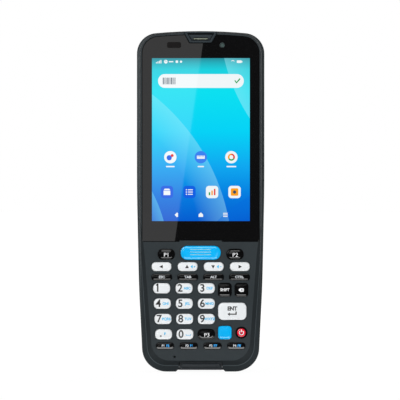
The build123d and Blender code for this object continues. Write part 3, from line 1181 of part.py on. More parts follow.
with BuildPart() as cradle_contacts:
    with BuildSketch(Plane.XY.offset(CRADLE_SINK)):
        for side in BOTH_SIDES:
            with Locations((side * CRADLE_X, CRADLE_Y)):
                with GridLocations(CRADLE_PITCH, 0, 2, 1):
                    Rectangle(CRADLE_PAD[0], CRADLE_PAD[1])
    extrude(amount=CRADLE_PAD[2])
cradle_contacts.part.label = "cradle_contacts"
export_step(cradle_contacts.part, "parts/cradle_contacts.step")

# ==== Hinge pins: one through the battery door's barrel, one through the port door's ==================================
with BuildPart() as hinge_pins:
    with BuildSketch(Plane.YZ):
        with Locations((DOOR_HINGE_Y, DOOR_HINGE_Z)):
            Circle(PIN_RADIUS)
    extrude(amount=PIN_HALF, both=True)
    with BuildSketch(Plane.YZ):
        with Locations((PORT_HINGE_Y, PORT_HINGE_Z)):
            Circle(PORT_PIN_RADIUS)
    extrude(amount=PORT_BLOCK_HALF - PORT_GAP, both=True)
hinge_pins.part.label = "hinge_pins"
export_step(hinge_pins.part, "parts/hinge_pins.step")

# ==== Rear camera with its lamp, loudspeaker and case screws ===========================================================
with BuildPart() as rear_camera:
    with Locations((0, BACK_WALL_IN, REAR_CAMERA_Z)):
        Box(REAR_CAMERA_BODY, REAR_CAMERA_DEPTH, REAR_CAMERA_BODY,
            align=(Align.CENTER, Align.MAX, Align.CENTER))
    with BuildSketch(level(BACK_WALL_IN)):
        with Locations((0, REAR_CAMERA_Z)):
            Circle(REAR_CAMERA_RADIUS)
    extrude(amount=-BACK_WALL - REAR_CAMERA_PROUD)
    chamfer(rear_camera.faces().sort_by(Axis.Y)[-1].edges(), KEY_CHAMFER)
    with BuildSketch(level(BACK_FACE + REAR_CAMERA_PROUD)):
        with Locations((0, REAR_CAMERA_Z)):
            Circle(REAR_CAMERA_LENS_RADIUS)
    extrude(amount=REAR_CAMERA_PROUD, mode=Mode.SUBTRACT)
    with BuildSketch(level(BACK_WALL_IN)):
        with Locations((LAMP_X, REAR_CAMERA_Z)):
            Circle(LAMP_RADIUS)
    extrude(amount=-BACK_WALL)
    with BuildSketch(level(BACK_WALL_IN)):
        with Locations((LAMP_X / 2, REAR_CAMERA_Z)):
            Rectangle(LAMP_X + 2 * LAMP_MARGIN, REAR_CAMERA_BODY)
    extrude(amount=LAMP_RADIUS)
rear_camera.part.label = "rear_camera"
export_step(rear_camera.part, "parts/rear_camera.step")

with BuildPart() as loudspeaker:
    with BuildSketch(level(BACK_WALL_IN)):
        with Locations((0, LOUDSPEAKER_Z)):
            Rectangle(LOUDSPEAKER_WIDTH, LOUDSPEAKER_HEIGHT)
    extrude(amount=LOUDSPEAKER_THICKNESS)
loudspeaker.part.label = "loudspeaker"
export_step(loudspeaker.part, "parts/loudspeaker.step")

with BuildPart() as case_screws:
    with BuildSketch(level(SCREW_SEAT)):
        with Locations(*SCREW_PLACES):
            Circle(SCREW_HEAD_RADIUS)
    extrude(amount=-SCREW_HEAD_HEIGHT)
    with BuildSketch(level(SCREW_SEAT)):
        with Locations(*SCREW_PLACES):
            Circle(SCREW_RADIUS)
    extrude(amount=SCREW_LENGTH)
    with BuildSketch(level(SCREW_SEAT + SCREW_HEAD_HEIGHT)):
        with Locations(*SCREW_PLACES):
            RegularPolygon(SCREW_SOCKET_RADIUS, SOCKET_SIDES)
    extrude(amount=SCREW_SOCKET_DEPTH, mode=Mode.SUBTRACT)
case_screws.part.label = "case_screws"
export_step(case_screws.part, "parts/case_screws.step")
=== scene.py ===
"""Looks of a handheld barcode terminal: finishes, key caps and legends, screen content, lights and camera."""
import math

import bmesh
import bpy
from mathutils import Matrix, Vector


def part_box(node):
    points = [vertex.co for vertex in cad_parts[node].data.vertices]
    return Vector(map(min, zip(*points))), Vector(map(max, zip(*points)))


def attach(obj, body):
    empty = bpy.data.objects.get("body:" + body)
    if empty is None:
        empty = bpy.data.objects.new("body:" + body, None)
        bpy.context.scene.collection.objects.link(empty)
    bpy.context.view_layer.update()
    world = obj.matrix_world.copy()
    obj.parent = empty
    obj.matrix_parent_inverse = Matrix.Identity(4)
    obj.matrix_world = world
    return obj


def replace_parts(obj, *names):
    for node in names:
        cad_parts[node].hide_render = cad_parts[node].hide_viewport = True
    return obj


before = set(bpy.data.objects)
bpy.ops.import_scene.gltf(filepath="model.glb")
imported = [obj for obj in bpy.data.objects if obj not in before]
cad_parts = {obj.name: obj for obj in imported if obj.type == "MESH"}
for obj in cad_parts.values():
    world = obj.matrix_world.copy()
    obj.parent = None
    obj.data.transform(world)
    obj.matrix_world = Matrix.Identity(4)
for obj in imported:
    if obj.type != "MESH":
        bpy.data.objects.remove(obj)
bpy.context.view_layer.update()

MM = 0.001
ROOT = "case"

# ---- Sizes that repeat the CAD model's, in millimetres: X across, Y into the case, Z up ------------------------------
PANEL_Y = -12.0
BEVEL_FRONT_Y = -11.97
BEVEL_BACK_Y = -10.61
LEDGE_FRONT_Y = -3.1
LEDGE_BACK_Y = -2.9
REAR_FACE_Y = 12.0
KEY_FACE_Y = -13.0
FLANGE_FRONT_Y = -9.95
FLANGE_BACK_Y = -9.15
FLANGE_MARGIN = 0.42
PLUNGER_Y = -7.4
PLUNGER = (2.0, 2.0, 0.3)

# ---- Sizes of the dressing, in millimetres. A size of three numbers is width, height and corner ----------------------
# Where the bands of painted light and shade behind the front cover's bevel end.
CREASE_BACK_Y = -10.38
RIM_BACK_Y = -8.6
# Step from one printed layer to the next.
LAYER = 0.012
# What a full round's corner falls short of half its height, so that no side vanishes, and the least corner of a rim.
ROUND_SLACK = 0.02
LEAST_CORNER = 0.15

# ---- Photograph: square, seen by a level camera far in front ---------------------------------------------------------
PHOTO_WIDTH = 400
PIXEL_MM = 0.534
CENTRE_COLUMN = 200.65
GROUND_ROW = 371.8
# Millimetres, as Blender's cameras have them.
LENS = 400.0
SENSOR = 36.0


# ==== Materials =======================================================================================================
COAT_ROUGHNESS = 0.08
# Noise from 0 to 1 seldom leaves this part of its range.
NOISE_SPAN = (0.3, 0.7)
# Unevenness: size in millimetres and detail of the noise, then what it does to roughness and tone.
MOTTLE_SIZE, MOTTLE_DETAIL = 14.0, 4.0
MOTTLE_GLOSS = (-0.04, 0.05)
STREAK_SIZE, STREAK_DETAIL = 0.25, 3.0
STREAK_GLOSS = (-0.06, 0.12)
STREAK_TONE = (0.9, 1.06)
SMEAR_SIZE, SMEAR_DETAIL = 9.0, 3.0
SCREEN_GLOSS = 0.03


def shade(red, green, blue):
    """Linear colour of an 8-bit screen colour."""
    parts = [value / 255 for value in (red, green, blue)]
    return tuple(part / 12.92 if part <= 0.04045 else ((part + 0.055) / 1.055) ** 2.4 for part in parts) + (1.0,)


def scaled(colour, factor):
    """Lighter or darker form of a colour."""
    return tuple(min(1.0, part * factor) for part in colour[:3]) + (1.0,)


def principled(name, colour, roughness, specular=0.5, metallic=0.0, coat=0.0):
    """Material and its shader, with plain values on the shader's own sockets."""
    material = bpy.data.materials.new(name)
    material.use_nodes = True
    surface = material.node_tree.nodes["Principled BSDF"]
    surface.inputs["Base Color"].default_value = colour
    surface.inputs["Roughness"].default_value = roughness
    surface.inputs["Specular IOR Level"].default_value = specular
    surface.inputs["Metallic"].default_value = metallic
    surface.inputs["Coat Weight"].default_value = coat
    surface.inputs["Coat Roughness"].default_value = COAT_ROUGHNESS
    return material, surface


def object_place(tree):
    """Place in the object's own frame."""
    return tree.nodes.new("ShaderNodeTexCoord").outputs["Object"]


def object_axis(tree, axis):
    """Place along one axis of the object's own frame."""
    axes = tree.nodes.new("ShaderNodeSeparateXYZ")
    tree.links.new(object_place(tree), axes.inputs["Vector"])
    return axes.outputs[axis]


def noise_of(material, size, detail=2.0):
    """Noise in the object's frame whose features are about that many millimetres across."""
    tree = material.node_tree
    noise = tree.nodes.new("ShaderNodeTexNoise")
    noise.inputs["Scale"].default_value = 1 / (size * MM)
    noise.inputs["Detail"].default_value = detail
    tree.links.new(object_place(tree), noise.inputs["Vector"])
    return noise.outputs["Fac"]


def ranged(tree, value, start=(0.0, 1.0), end=(0.0, 1.0)):
    """A value carried from one range into another, and held within it."""
    node = tree.nodes.new("ShaderNodeMapRange")
    node.inputs["From Min"].default_value, node.inputs["From Max"].default_value = start
    node.inputs["To Min"].default_value, node.inputs["To Max"].default_value = end
    tree.links.new(value, node.inputs["Value"])
    return node.outputs["Result"]


def maths(tree, operation, first, second):
    """Math on a node's output and a second operand, which is an output too or a number."""
    node = tree.nodes.new("ShaderNodeMath")
    node.operation = operation
    tree.links.new(first, node.inputs[0])
    if isinstance(second, float):
        node.inputs[1].default_value = second
    else:
        tree.links.new(second, node.inputs[1])
    return node.outputs["Value"]


def uneven_gloss(material, surface, noise, low, high):
    """Roughness that follows noise between two values."""
    tree = material.node_tree
    tree.links.new(ranged(tree, noise, NOISE_SPAN, (low, high)), surface.inputs["Roughness"])


def mixed(material, factor, first, second):
    """Colour between two others, either of which may be a node's output."""
    nodes, links = material.node_tree.nodes, material.node_tree.links
    mix = nodes.new("ShaderNodeMix")
    mix.data_type = "RGBA"
    links.new(factor, mix.inputs["Factor"])
    for socket, colour in ((mix.inputs["A"], first), (mix.inputs["B"], second)):
        if isinstance(colour, tuple):
            socket.default_value = colour
        else:
            links.new(colour, socket)
    return mix.outputs["Result"]


def relief(material, surface, height, depth):
    """Fine unevenness of that many millimetres that only light shows."""
    nodes, links = material.node_tree.nodes, material.node_tree.links
    bump = nodes.new("ShaderNodeBump")
    bump.inputs["Strength"].default_value = 1.0
    bump.inputs["Distance"].default_value = depth * MM
    links.new(height, bump.inputs["Height"])
    links.new(bump.outputs["Normal"], surface.inputs["Normal"])


def moulded(name, colour, roughness, grain=0.35, depth=0.012, mottle=0.05, specular=0.5, coat=0.0):
    """Moulded plastic or rubber: fine grain in relief, faint mottling and slightly uneven gloss."""
    material, surface = principled(name, colour, roughness, specular, coat=coat)
    tree = material.node_tree
    blotches = noise_of(material, MOTTLE_SIZE, MOTTLE_DETAIL)
    colours = mixed(material, ranged(tree, blotches, NOISE_SPAN), scaled(colour, 1 - mottle),
                    scaled(colour, 1 + mottle))
    tree.links.new(colours, surface.inputs["Base Color"])
    uneven_gloss(material, surface, blotches, roughness + MOTTLE_GLOSS[0], roughness + MOTTLE_GLOSS[1])
    relief(material, surface, noise_of(material, grain), depth)
    return material


def painted_shading_band(material, front, back, factor):
    """Painted light or shade: scale the colour of what lies between two depths, where light falls on the moulding at
    another slant.
    """
    tree = material.node_tree
    surface = tree.nodes["Principled BSDF"]
    plain = surface.inputs["Base Color"].links[0].from_socket
    within = tree.nodes.new("ShaderNodeMath")
    within.operation = "COMPARE"
    within.inputs[1].default_value = (front + back) / 2 * MM
    within.inputs[2].default_value = (back - front) / 2 * MM
    tree.links.new(object_axis(tree, "Y"), within.inputs[0])
    toned = tree.nodes.new("ShaderNodeVectorMath")
    toned.operation = "SCALE"
    toned.inputs["Scale"].default_value = factor
    tree.links.new(plain, toned.inputs[0])
    tree.links.new(mixed(material, within.outputs["Value"], plain, toned.outputs["Vector"]),
                   surface.inputs["Base Color"])


def brushed(name, colour, roughness):
    """Sheet metal with fine uneven gloss."""
    material, surface = principled(name, colour, roughness, metallic=1.0)
    streaks = noise_of(material, STREAK_SIZE, STREAK_DETAIL)
    uneven_gloss(material, surface, streaks, roughness + STREAK_GLOSS[0], roughness + STREAK_GLOSS[1])
    tones = [scaled(colour, factor) for factor in STREAK_TONE]
    material.node_tree.links.new(mixed(material, streaks, *tones), surface.inputs["Base Color"])
    return material


def glossy(name, colour, roughness, smear=0.03):
    """Glass or polished plastic with a breath of unevenness in its gloss."""
    material, surface = principled(name, colour, roughness)
    uneven_gloss(material, surface, noise_of(material, SMEAR_SIZE, SMEAR_DETAIL), roughness, roughness + smear)
    return material


def lit(name, *colour):
    """A lit area of the display, under the gloss of the cover glass."""
    material, surface = principled(name, shade(0, 0, 0), SCREEN_GLOSS)
    surface.inputs["Emission Color"].default_value = shade(*colour)
    surface.inputs["Emission Strength"].default_value = 1.0
    return material


WHITE = shade(236, 239, 241)
BLACK = shade(5, 5, 6)
BLUE = shade(0, 186, 255)

front_shell = moulded("front_shell_plastic", shade(51, 57, 60), 0.55, specular=0.05)
rear_shell = moulded("rear_shell_plastic", shade(54, 60, 62), 0.46, grain=0.5, depth=0.02, specular=0.12)
door_shell = moulded("battery_door_plastic", shade(51, 56, 60), 0.50, grain=0.5, depth=0.025, specular=0.2)
bezel_plastic = moulded("bezel_plastic", shade(44, 52, 57), 0.40, depth=0.006, specular=0.12)
black_plastic = moulded("black_plastic", shade(15, 16, 18), 0.42, specular=0.15)
flap_rubber = moulded("port_flap_rubber", shade(38, 43, 47), 0.56, grain=0.25, specular=0.2)
mat_silicone = moulded("mat_silicone", shade(24, 25, 27), 0.62)
cover_glass = glossy("cover_glass", shade(10, 10, 11), roughness=0.008, smear=0.006)
scan_glass = glossy("scan_window_glass", shade(58, 8, 14), roughness=0.03)
lens_glass = glossy("lens_glass", shade(10, 14, 20), roughness=0.01)
white_cap = moulded("white_key_plastic", WHITE, 0.34, grain=0.6, depth=0.003, mottle=0.015, specular=0.35)
black_cap = moulded("black_key_plastic", BLACK, 0.12, grain=0.6, depth=0.001, specular=0.3, coat=0.6)
blue_cap = moulded("blue_key_plastic", BLUE, 0.18, grain=0.6, depth=0.002, mottle=0.02, specular=0.3, coat=0.7)
# Painted highlight: light blue for the scan key's ridges.
ridge_painted_highlight = moulded("scan_ridge_painted_highlight", shade(170, 240, 255), 0.18, grain=0.6, depth=0.002, mottle=0.02, coat=1.0)
red_cap = moulded("red_key_plastic", shade(232, 4, 44), 0.22, grain=0.6, depth=0.002, mottle=0.02)
trigger_plastic = moulded("trigger_plastic", BLUE, 0.40, grain=0.3)
circuit_green = moulded("circuit_laminate", shade(18, 84, 52), 0.38, grain=0.8, mottle=0.12)
tinned = brushed("tinned_steel", shade(190, 192, 194), 0.28)
steel = brushed("spring_steel", shade(176, 178, 180), 0.24)
dark_steel = brushed("screw_steel", shade(58, 60, 63), 0.34)
gold = brushed("contact_gold", shade(226, 180, 86), 0.22)
# Painted highlight: light grey for the receiver's lip, where its metal mesh would mirror light.
receiver_highlight_paint = moulded("receiver_lip_painted_highlight", shade(140, 147, 130), 0.5, grain=0.3)
battery_wrap = moulded("battery_wrap", shade(30, 33, 38), 0.36, grain=0.4)

# Painted shade on the front cover's bevel, a painted highlight along its crease, painted shade on its rim, and painted
# light on the rear cover's ledge.
painted_shading_band(front_shell, BEVEL_FRONT_Y, BEVEL_BACK_Y, 0.6)
painted_shading_band(front_shell, BEVEL_BACK_Y, CREASE_BACK_Y, 2.0)
painted_shading_band(front_shell, CREASE_BACK_Y, RIM_BACK_Y, 0.8)
painted_shading_band(rear_shell, LEDGE_FRONT_Y, LEDGE_BACK_Y, 1.8)

FINISHES = {
    front_shell: ("front_cover",),
    rear_shell: ("rear_cover",),
    door_shell: ("battery_door",),
    black_plastic: ("battery_door_latch", "earpiece_speaker", "scan_engine", "trigger_switches", "loudspeaker",
                    "front_camera", "rear_camera", "lcd_module"),
    flap_rubber: ("io_door",),
    bezel_plastic: ("earpiece_bezel",),
    cover_glass: ("display_glass",),
    scan_glass: ("scan_window",),
    mat_silicone: ("keypad_mat",),
    circuit_green: ("keypad_board", "main_board"),
    tinned: ("shield_cans", "usb_connector"),
    steel: ("key_domes", "hinge_pins"),
    dark_steel: ("case_screws",),
    gold: ("battery_contacts", "cradle_contacts"),
    battery_wrap: ("battery_pack",),
    trigger_plastic: ("left_scan_trigger", "right_scan_trigger"),
}
for material, names in FINISHES.items():
    for name in names:
        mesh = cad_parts[name].data
        mesh.materials.clear()
        mesh.materials.append(material)


# ==== Building pieces =================================================================================================
CORNER_STEPS = 7
ARC_STEPS = 16
DISC_STEPS = 32
SMALL_DISC_STEPS = 16
# Edges sharper than this many degrees stay sharp: on any piece, and on the key caps.
CREASE = 35
CAP_CREASE = 18
# Capital height of Blender's own font, as a share of its size.
CAPITAL_SHARE = 0.73


def rounded(width, height, corner):
    """Points anticlockwise round a rectangle with rounded corners, as the user sees it."""
    points = []
    for quarter, (across, up) in enumerate(((1, 1), (-1, 1), (-1, -1), (1, -1))):
        for step in range(CORNER_STEPS + 1):
            angle = math.radians(90 * (quarter + step / CORNER_STEPS))
            points.append((across * (width / 2 - corner) + corner * math.cos(angle),
                           up * (height / 2 - corner) + corner * math.sin(angle)))
    return points


def round_size(radius):
    """Width, height and corner that make a rounded rectangle a full round."""
    return 2 * radius, 2 * radius, radius - ROUND_SLACK


def disc(radius, steps=DISC_STEPS):
    """Points anticlockwise round a circle."""
    return [(radius * math.cos(math.tau * step / steps), radius * math.sin(math.tau * step / steps))
            for step in range(steps)]


def arc(radius, start, end):
    """Points along a circle between two angles in degrees, from the right and anticlockwise."""
    angles = [math.radians(start + (end - start) * step / ARC_STEPS) for step in range(ARC_STEPS + 1)]
    return [(radius * math.cos(angle), radius * math.sin(angle)) for angle in angles]


def band(radius, width, start, end):
    """Part of a ring, as one outline."""
    return arc(radius + width / 2, start, end) + arc(radius - width / 2, end, start)


def bar(width, height):
    """Corners of a rectangle about the origin."""
    return [(-width / 2, -height / 2), (width / 2, -height / 2), (width / 2, height / 2), (-width / 2, height / 2)]


def moved(points, across, up):
    return [(x + across, z + up) for x, z in points]


def placed(name, data):
    """Mesh, lamp or camera as an object in the scene."""
    item = bpy.data.objects.new(name, data)
    bpy.context.scene.collection.objects.link(item)
    return item


def mesh_data(name, mesh, material):
    """Working mesh turned into mesh data with one material."""
    data = bpy.data.meshes.new(name)
    mesh.to_mesh(data)
    mesh.free()
    data.materials.append(material)
    return data


def piece_of(name, mesh, material, body, crease=CREASE):
    """Finished mesh as a piece that rides on a body."""
    bmesh.ops.recalc_face_normals(mesh, faces=mesh.faces)
    data = mesh_data(name, mesh, material)
    data.shade_smooth()
    data.set_sharp_from_angle(angle=math.radians(crease))
    piece = placed(name, data)
    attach(piece, body)
    return piece


def add_rim(mesh, centre, size, profile):
    """Solid with a rounded outline whose rim follows steps of (inset, depth in Y), the front step last."""
    width, height, corner = size
    rings = []
    for inset, depth in profile:
        outline = rounded(width - 2 * inset, height - 2 * inset, max(corner - inset, LEAST_CORNER))
        rings.append([mesh.verts.new(((centre[0] + x) * MM, depth * MM, (centre[1] + z) * MM)) for x, z in outline])
    for back, front in zip(rings, rings[1:]):
        for index in range(len(back)):
            following = (index + 1) % len(back)
            mesh.faces.new((back[index], back[following], front[following], front[index]))
    mesh.faces.new(rings[-1])
    mesh.faces.new(rings[0][::-1])


def rim_piece(name, centre, size, profile, material, body=ROOT):
    """Piece made of one rimmed solid."""
    mesh = bmesh.new()
    add_rim(mesh, centre, size, profile)
    return piece_of(name, mesh, material, body)


def flat_marks(name, outlines, depth, material, body=ROOT):
    """Flat printed or lit shapes that face the user at one depth."""
    mesh = bmesh.new()
    for outline in outlines:
        mesh.faces.new([mesh.verts.new((x * MM, depth * MM, z * MM)) for x, z in outline])
    bmesh.ops.triangulate(mesh, faces=[face for face in mesh.faces if len(face.verts) > 4])
    for face in mesh.faces:
        face.normal_update()
        if face.normal.y > 0:
            face.normal_flip()
    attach(placed(name, mesh_data(name, mesh, material)), body)


def lettering(name, text, centre, height, depth, material, body, stretch=1.0, weight=0.0):
    """Printed characters of a given capital height, as a flat mesh."""
    curve = bpy.data.curves.new(name, "FONT")
    curve.body = text
    curve.size = height * MM / CAPITAL_SHARE
    curve.align_x = "CENTER"
    curve.offset = weight * MM
    source = placed(name + "_source", curve)
    bpy.context.view_layer.update()
    data = bpy.data.meshes.new_from_object(source.evaluated_get(bpy.context.evaluated_depsgraph_get()))
    bpy.data.objects.remove(source)
    for vertex in data.vertices:
        x, up, _ = vertex.co
        vertex.co = (centre[0] * MM + x * stretch, depth * MM, (centre[1] - height / 2) * MM + up)
    data.name = name
    data.materials.clear()
    data.materials.append(material)
    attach(placed(name, data), body)


# ==== Key caps ========================================================================================================
# Rims as (inset, depth below the face): domed, or with a narrow facet between a ledge and the face.
SOFT_RIM = ((0, 0.62), (0.03, 0.50), (0.12, 0.38), (0.30, 0.26), (0.60, 0.15), (1.00, 0.07), (1.50, 0.02),
            (2.00, 0.0))
FACET_RIM = ((0, 0.70), (0.03, 0.50), (0.08, 0.41), (0.18, 0.36), (0.72, 0.31), (0.80, 0.27), (1.10, 0.07),
             (1.18, 0.03), (1.30, 0.0))
LOW_FACET_RIM = ((0, 0.70), (0.03, 0.48), (0.07, 0.36), (0.15, 0.31), (0.46, 0.27), (0.53, 0.24), (0.82, 0.05),
                 (0.90, 0.02), (0.98, 0.0))
# The scan key's middle is a shallow dish.
SCAN_RIM = ((0, 0.90), (0.05, 0.74), (0.16, 0.62), (0.40, 0.55), (0.62, 0.50), (1.10, 0.19), (1.22, 0.16),
            (1.80, 0.23), (2.30, 0.27), (2.70, 0.28))
# Each kind of key: outline corner, plastic, slot, rim and keys.
KEY_KINDS = (
    (2.25, white_cap, "key_white", SOFT_RIM,
     ("key_1", "key_2", "key_3", "key_4", "key_5", "key_6", "key_7", "key_8", "key_9", "key_dot", "key_0")),
    (2.1, white_cap, "key_white", SOFT_RIM, ("key_left", "key_up", "key_down", "key_right")),
    (2.6, white_cap, "key_white", SOFT_RIM, ("key_enter",)),
    (1.45, black_cap, "key_black", LOW_FACET_RIM,
     ("key_esc", "key_tab", "key_alt", "key_ctrl", "key_f1", "key_f2", "key_f3", "key_f4")),
    (2.5, black_cap, "key_black", FACET_RIM, ("key_p1", "key_p2", "key_p3")),
    (1.6, black_cap, "key_black", FACET_RIM, ("key_shift", "key_erase")),
    (1.7, blue_cap, "key_blue", FACET_RIM, ("key_fn",)),
    (3.45, blue_cap, "key_blue", SCAN_RIM, ("key_scan",)),
)


def key_place(name):
    """Centre and cap size of a key, from its CAD node's flange."""
    low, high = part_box(name)
    centre = ((low.x + high.x) / 2 / MM, (low.z + high.z) / 2 / MM)
    size = ((high.x - low.x) / MM - 2 * FLANGE_MARGIN, (high.z - low.z) / MM - 2 * FLANGE_MARGIN)
    return centre, size


def key_solid(name, corner, rim):
    """Flange, cap and plunger of a key, as one mesh."""
    centre, (width, height) = key_place(name)
    foot = [(-FLANGE_MARGIN, FLANGE_BACK_Y), (-FLANGE_MARGIN, FLANGE_FRONT_Y), (0, FLANGE_FRONT_Y)]
    mesh = bmesh.new()
    add_rim(mesh, centre, (width, height, min(corner, height / 2 - ROUND_SLACK)),
            foot + [(inset, KEY_FACE_Y + depth) for inset, depth in rim])
    add_rim(mesh, centre, PLUNGER, [(0, PLUNGER_Y), (0, FLANGE_BACK_Y)])
    return mesh


for corner, material, slot, rim, names in KEY_KINDS:
    for name in names:
        cap = piece_of("cap_" + name, key_solid(name, corner, rim), material, name, CAP_CREASE)
        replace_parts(cap, name)

# Scan key: ridges across its middle, whose light blue is a painted highlight.
RIDGE_STEPS = (-1, 0, 1)
RIDGE_PITCH = 1.42
RIDGE_RISE = 0.42
RIDGE_SIZE = (11.2, 0.4, 0.18)
RIDGE_RIM = ((0, 0.4), (0, 0.24), (0.04, 0.21), (0.1, 0.2))
(x, z), _ = key_place("key_scan")
mesh = bmesh.new()
for step in RIDGE_STEPS:
    add_rim(mesh, (x, z + RIDGE_RISE + step * RIDGE_PITCH), RIDGE_SIZE,
            [(inset, KEY_FACE_Y + depth) for inset, depth in RIDGE_RIM])
piece_of("scan_key_ridges", mesh, ridge_painted_highlight, "key_scan")

# Power key: red disc in a black collar, which is round because its corner is as large as it can be.
POWER_RADIUS = 2.25
COLLAR_RIM = ((0, 0.65), (0.12, 0.45))
DISC_RIM = ((0, 0.55), (0, 0.25), (0.08, 0.12), (0.3, 0.03), (0.7, 0))
power_centre, power_size = key_place("key_power")
collar = key_solid("key_power", power_size[0], COLLAR_RIM)
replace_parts(piece_of("cap_key_power", collar, black_cap, "key_power"), "key_power")
rim_piece("power_disc", power_centre, round_size(POWER_RADIUS),
          [(inset, KEY_FACE_Y + depth) for inset, depth in DISC_RIM], red_cap, "key_power")

# ==== Key legends =====================================================================================================
def printing_ink(name, *colour):
    """Printed ink, finer in grain than the plastic under it."""
    return moulded("ink_" + name, shade(*colour), 0.45, grain=0.2, depth=0.002)


ink_black = printing_ink("black", 14, 14, 16)
ink_white = printing_ink("white", 246, 247, 248)
ink_grey = printing_ink("grey", 206, 210, 214)
ink_blue = printing_ink("blue", 0, 188, 240)
ink_deep_blue = printing_ink("deep_blue", 0, 164, 246)

LEGEND_Y = KEY_FACE_Y - LAYER
# Words on the keys: shift across and up, capital height, stretch and weight.
DIGIT_STYLE = (-2.1, 0.33, 4.1, 1.0, 0.10)
LETTERS_STYLE = (1.75, 0.1, 1.4, 1.0, 0.06)
LOW_STYLE = (0.0, 0.2, 1.3, 1.1, 0.06)
NUMBERED_STYLE = (-0.9, 0.2, 1.3, 1.0, 0.06)
SECOND_STYLE = (1.5, 0.2, 1.3, 1.0, 0.06)
PROGRAM_STYLE = (0.1, -0.2, 2.15, 1.05, 0.01)
THIRD_PROGRAM_STYLE = (0.3, -0.2, 2.15, 1.05, 0.01)
SHIFT_STYLE = (0.0, 0.2, 1.5, 0.95, 0.06)
ENTER_STYLE = (0.0, 1.6, 2.1, 0.95, 0.14)


def key_words(name, legend, text, style, ink):
    """Printed characters on a key, in one of the styles above."""
    (x, z), _ = key_place(name)
    across, up, height, stretch, weight = style
    lettering(legend, text, (x + across, z + up), height, LEGEND_Y, ink, name, stretch, weight)


DIGIT_LEGENDS = {"1": "", "2": "ABC", "3": "DEF", "4": "GHI", "5": "JKL", "6": "MNO", "7": "PQRS", "8": "TUV",
                 "9": "WXYZ", "0": ""}
for digit, letters in DIGIT_LEGENDS.items():
    key_words("key_" + digit, "digit_" + digit, digit, DIGIT_STYLE, ink_black)
    if letters:
        key_words("key_" + digit, "letters_" + digit, letters, LETTERS_STYLE, ink_blue)

WORDS = (
    ({"p1": "P1", "p2": "P2"}, PROGRAM_STYLE, ink_white),
    ({"p3": "P3"}, THIRD_PROGRAM_STYLE, ink_white),
    ({"esc": "ESC", "tab": "TAB", "alt": "ALT", "ctrl": "CTRL"}, LOW_STYLE, ink_grey),
    ({"shift": "SHIFT"}, SHIFT_STYLE, ink_white),
    ({"enter": "ENT"}, ENTER_STYLE, ink_black),
    ({"f1": "F1", "f2": "F2", "f3": "F3", "f4": "F4"}, NUMBERED_STYLE, ink_grey),
    ({"f1": "F5", "f2": "F6", "f3": "F7", "f4": "F8"}, SECOND_STYLE, ink_deep_blue),
)
for texts, style, material in WORDS:
    for key, text in texts.items():
        key_words("key_" + key, f"legend_key_{key}_{text.lower()}", text, style, material)


def key_marks(name, tag, outlines, ink, depth=LEGEND_Y):
    """Printed shapes on a key, given about its middle."""
    (x, z), _ = key_place(name)
    flat_marks(f"legend_{name}_{tag}", [moved(outline, x, z) for outline in outlines], depth, ink, name)


ARROW_RADIUS = 1.15
ARROW_TURNS = (0, 125, 235)
# Where the up and down arrows and the loudspeaker marks beside them stand.
ARROW_ACROSS = -0.3
ARROW_SINK = 0.1
LOUD_ACROSS = 2.4
LOUD_LINE = 0.28
CROSS_LENGTH = 1.1
CROSS_LINE = 0.24
CROSS_ACROSS = 0.2
POWER_RING = 1.15
POWER_LINE = 0.42
ENTER_LINE = 0.62
SPACE_LINE = 0.26


def arrow_mark(angle):
    """Small solid triangle that points along an angle."""
    return [(ARROW_RADIUS * math.cos(math.radians(angle + turn)), ARROW_RADIUS * math.sin(math.radians(angle + turn)))
            for turn in ARROW_TURNS]


def turned_bar(length, width, angle):
    """Corners of a rectangle turned by an angle in degrees."""
    cosine, sine = math.cos(math.radians(angle)), math.sin(math.radians(angle))
    return [(x * cosine - z * sine, x * sine + z * cosine) for x, z in bar(length, width)]


loud_mark = [(-0.9, 0), (0.3, 1.0), (0.3, -1.0)]
loud_bar = moved(bar(0.9, LOUD_LINE), 1.3, 0)
loud_post = moved(bar(LOUD_LINE, 0.9), 1.3, 0)
key_marks("key_left", "arrow", [arrow_mark(180)], ink_black)
key_marks("key_right", "arrow", [arrow_mark(0)], ink_black)
key_marks("key_up", "arrow", [moved(arrow_mark(90), ARROW_ACROSS, -ARROW_SINK)], ink_black)
key_marks("key_down", "arrow", [moved(arrow_mark(270), ARROW_ACROSS, ARROW_SINK)], ink_black)
key_marks("key_up", "louder", [moved(part, LOUD_ACROSS, 0) for part in (loud_mark, loud_bar, loud_post)], ink_blue)
key_marks("key_down", "softer", [moved(part, LOUD_ACROSS, 0) for part in (loud_mark, loud_bar)], ink_blue)
key_marks("key_dot", "dot", [moved(disc(0.42, SMALL_DISC_STEPS), -1.5, -0.9)], ink_black)
key_marks("key_dot", "comma",
          [[(0.35, 1.1), (1.05, 1.1), (1.05, 0.4), (0.55, -0.5), (0.3, -0.3), (0.6, 0.4), (0.35, 0.4)]], ink_blue)
key_marks("key_1", "flag",
          [[(-2.35, 2.46), (-1.95, 2.46), (-1.95, 1.83), (-3.05, 1.28), (-3.05, 1.78)]], ink_black)
key_marks("key_0", "space",
          [moved(bar(2.6, SPACE_LINE), 1.8, -0.5), moved(bar(SPACE_LINE, 0.7), 0.63, -0.2),
           moved(bar(SPACE_LINE, 0.7), 2.97, -0.2)], ink_blue)
key_marks("key_enter", "arrow",
          [moved(bar(4.2, ENTER_LINE), 0.2, -1.5), moved(bar(ENTER_LINE, 1.6), 2.05, -0.9),
           [(-2.6, -1.5), (-1.3, -0.6), (-1.1, -0.85), (-2.0, -1.5)],
           [(-2.6, -1.5), (-2.0, -1.5), (-1.1, -2.15), (-1.3, -2.4)]], ink_black)
key_marks("key_erase", "back", [[(-1.65, 0.0), (-0.8, 0.95), (1.2, 0.95), (1.2, -0.95), (-0.8, -0.95)]], ink_white)
